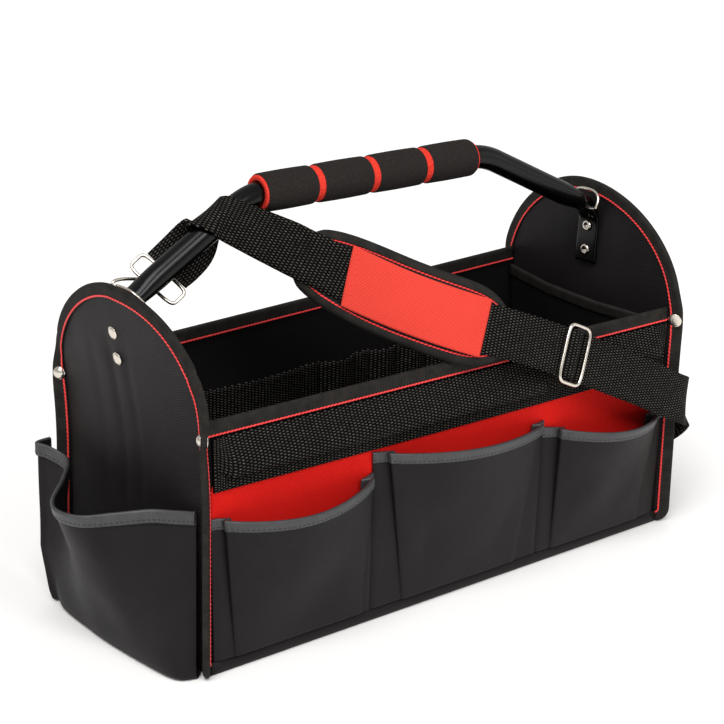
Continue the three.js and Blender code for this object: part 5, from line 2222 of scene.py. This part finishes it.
    def patch_place(self, u: float, v: float) -> Vector:
        """A place on the patch's inside. The foot of its left end lags along the strap.

        Args:
            u: The share along the patch.
            v: The share across it.

        Returns:
            The place.
        """
        t = lerp(self.patch_from + self.patch_lag * (1 - v), self.patch_to, u) / self.steps
        crown = self.patch_crown * math.sin(math.pi * clamp(v)) ** 0.5 * math.sin(math.pi * clamp(u)) ** 0.3
        return self.place(t, (v - 0.5) * self.patch_wide, WEBBING / 2 + GAP + crown)

    def build_patch(self) -> None:
        """Makes the red patch over the strap and the stitches at its two ends."""
        outward = self.axes(self.pad_middle)[3]
        lift = outward * (self.patch_thick + FINE_LIFT)
        patch = cloth("strap_patch_cloth", self.patch_place, 72, 30, outward, self.patch_thick, 1.0)
        # Dressed in the lighter red, which is painted sheen
        dress(patch, RED_PATCH_PAINTED_SHEEN, "strap_pad_patch")
        for u, word in ((0.035, "left"), (0.965, "right")):
            def line(s: float, u: float = u) -> tuple[Vector, Vector]:
                """A place on a row across the patch at u, and the way off the patch."""
                return self.patch_place(u, lerp(0.03, 0.97, s)) + lift, outward

            dress(FINE_ROW.sew(f"strap_patch_{word}_stitches", line, 60), RED_THREAD)

    def build(self) -> None:
        """Makes the strap and everything on it."""
        self.build_webbing()
        self.build_pad()
        self.build_patch()
        self.build_slider()
        self.build_ends()


# Studio

@dataclass(frozen=True)
class Studio:
    """A pale floor, soft lights and the camera at the photograph's angle.

    The floor and the lights are in metres.
    """

    azimuth: float = math.radians(-39.98)
    elevation: float = math.radians(19.22)
    roll: float = math.radians(0.67)
    position: tuple[float, float, float] = (-1112.9, -1312.0, 764.6)
    focal_pixels: float = 2353.95
    frame_pixels: float = 724.0
    sensor: float = 36.0
    floor_colour: str = "#fbfaf8"
    floor_half: float = 30.0
    sun_from: tuple[float, float, float] = (-0.62, -0.45, 1.1)
    sun_power: float = 2.3
    sun_spread: float = math.radians(38)
    room_power: float = 0.5
    aim: tuple[float, float, float] = (0.0, 0.0, 0.15)
    # Columns: name, place, size and power
    lamps: tuple[tuple[str, tuple[float, float, float], float, float], ...] = (
        ("key", (-0.2, -1.7, 1.5), 0.7, 11.0),
        ("fill", (1.9, -1.5, 1.1), 1.4, 4.0),
    )

    def build_floor(self) -> None:
        """Makes the floor just under the bag."""
        bm = bmesh.new()
        bmesh.ops.create_grid(bm, x_segments=1, y_segments=1, size=self.floor_half)
        floor = to_object("floor", bm)
        paper = bpy.data.materials.new("pale_paper")
        paper.use_nodes = True
        shader = paper.node_tree.nodes["Principled BSDF"]
        shader.inputs["Base Color"].default_value = linear(self.floor_colour)
        shader.inputs["Roughness"].default_value = 0.9
        floor.data.materials.append(paper)

    def build_room(self) -> None:
        """Makes the even light that comes from all round, and shows colours as they are."""
        world = bpy.data.worlds.new("soft_room")
        world.use_nodes = True
        background = world.node_tree.nodes["Background"]
        background.inputs["Color"].default_value = linear("#ffffff")
        background.inputs["Strength"].default_value = self.room_power
        bpy.context.scene.world = world
        bpy.context.scene.view_settings.view_transform = "Standard"

    def lamp(self, name: str, kind: str, power: float, away: Vector) -> Piece:
        """Makes a light.

        Args:
            name: Its name.
            kind: Its type.
            power: Its energy.
            away: The way back along its beam.

        Returns:
            The light, at the origin.
        """
        data = bpy.data.lights.new(name, kind)
        data.energy = power
        made = bpy.data.objects.new(name, data)
        made.rotation_euler = away.to_track_quat("Z", "Y").to_euler()
        bpy.context.scene.collection.objects.link(made)
        return made

    def build_lights(self) -> None:
        """Makes a broad daylight from the upper left, a key before the pockets and a faint fill."""
        sun = self.lamp("daylight", "SUN", self.sun_power, Vector(self.sun_from))
        sun.data.angle = self.sun_spread
        for name, at, size, power in self.lamps:
            made = self.lamp(name, "AREA", power, Vector(at) - Vector(self.aim))
            made.location = at
            made.data.size = size

    def build_camera(self) -> None:
        """Makes the camera that the photograph was taken with, as fitted to it."""
        cos_a, sin_a = math.cos(self.azimuth), math.sin(self.azimuth)
        cos_e, sin_e = math.cos(self.elevation), math.sin(self.elevation)
        back = Vector((sin_a * cos_e, -cos_a * cos_e, sin_e))
        right = Vector((cos_a, sin_a, 0))
        up = back.cross(right)
        rolled_right = right * math.cos(self.roll) + up * math.sin(self.roll)
        axes = Matrix((rolled_right, back.cross(rolled_right), back)).transposed().to_4x4()
        data = bpy.data.cameras.new("camera")
        data.sensor_width = self.sensor
        data.lens = self.focal_pixels / self.frame_pixels * self.sensor
        made = bpy.data.objects.new("camera", data)
        made.matrix_world = Matrix.Translation(Vector(self.position) * MM) @ axes
        bpy.context.scene.collection.objects.link(made)
        bpy.context.scene.camera = made

    def build(self) -> None:
        """Makes the floor, the lights and the camera."""
        self.build_floor()
        self.build_lights()
        self.build_room()
        self.build_camera()


def main() -> None:
    """Builds the studio and the bag."""
    logging.basicConfig(level=logging.INFO, format="%(message)s")
    inner_pockets = (
        InnerPocket(LEFT_END, stand_front=9, stand_middle=16, stand_back=4),
        InnerPocket(RIGHT_END, stand_front=17, stand_middle=20, stand_back=4),
    )
    for part in (Studio(), Base(), FRONT, BACK, LEFT_END, RIGHT_END, RedPanel(), WebBand(), *FRONT_POCKETS,
                 EndPocket(), *inner_pockets, LoopStrip(), HANDLE, FASTENINGS, Strap()):
        part.build()


if __name__ == "__main__":
    main()
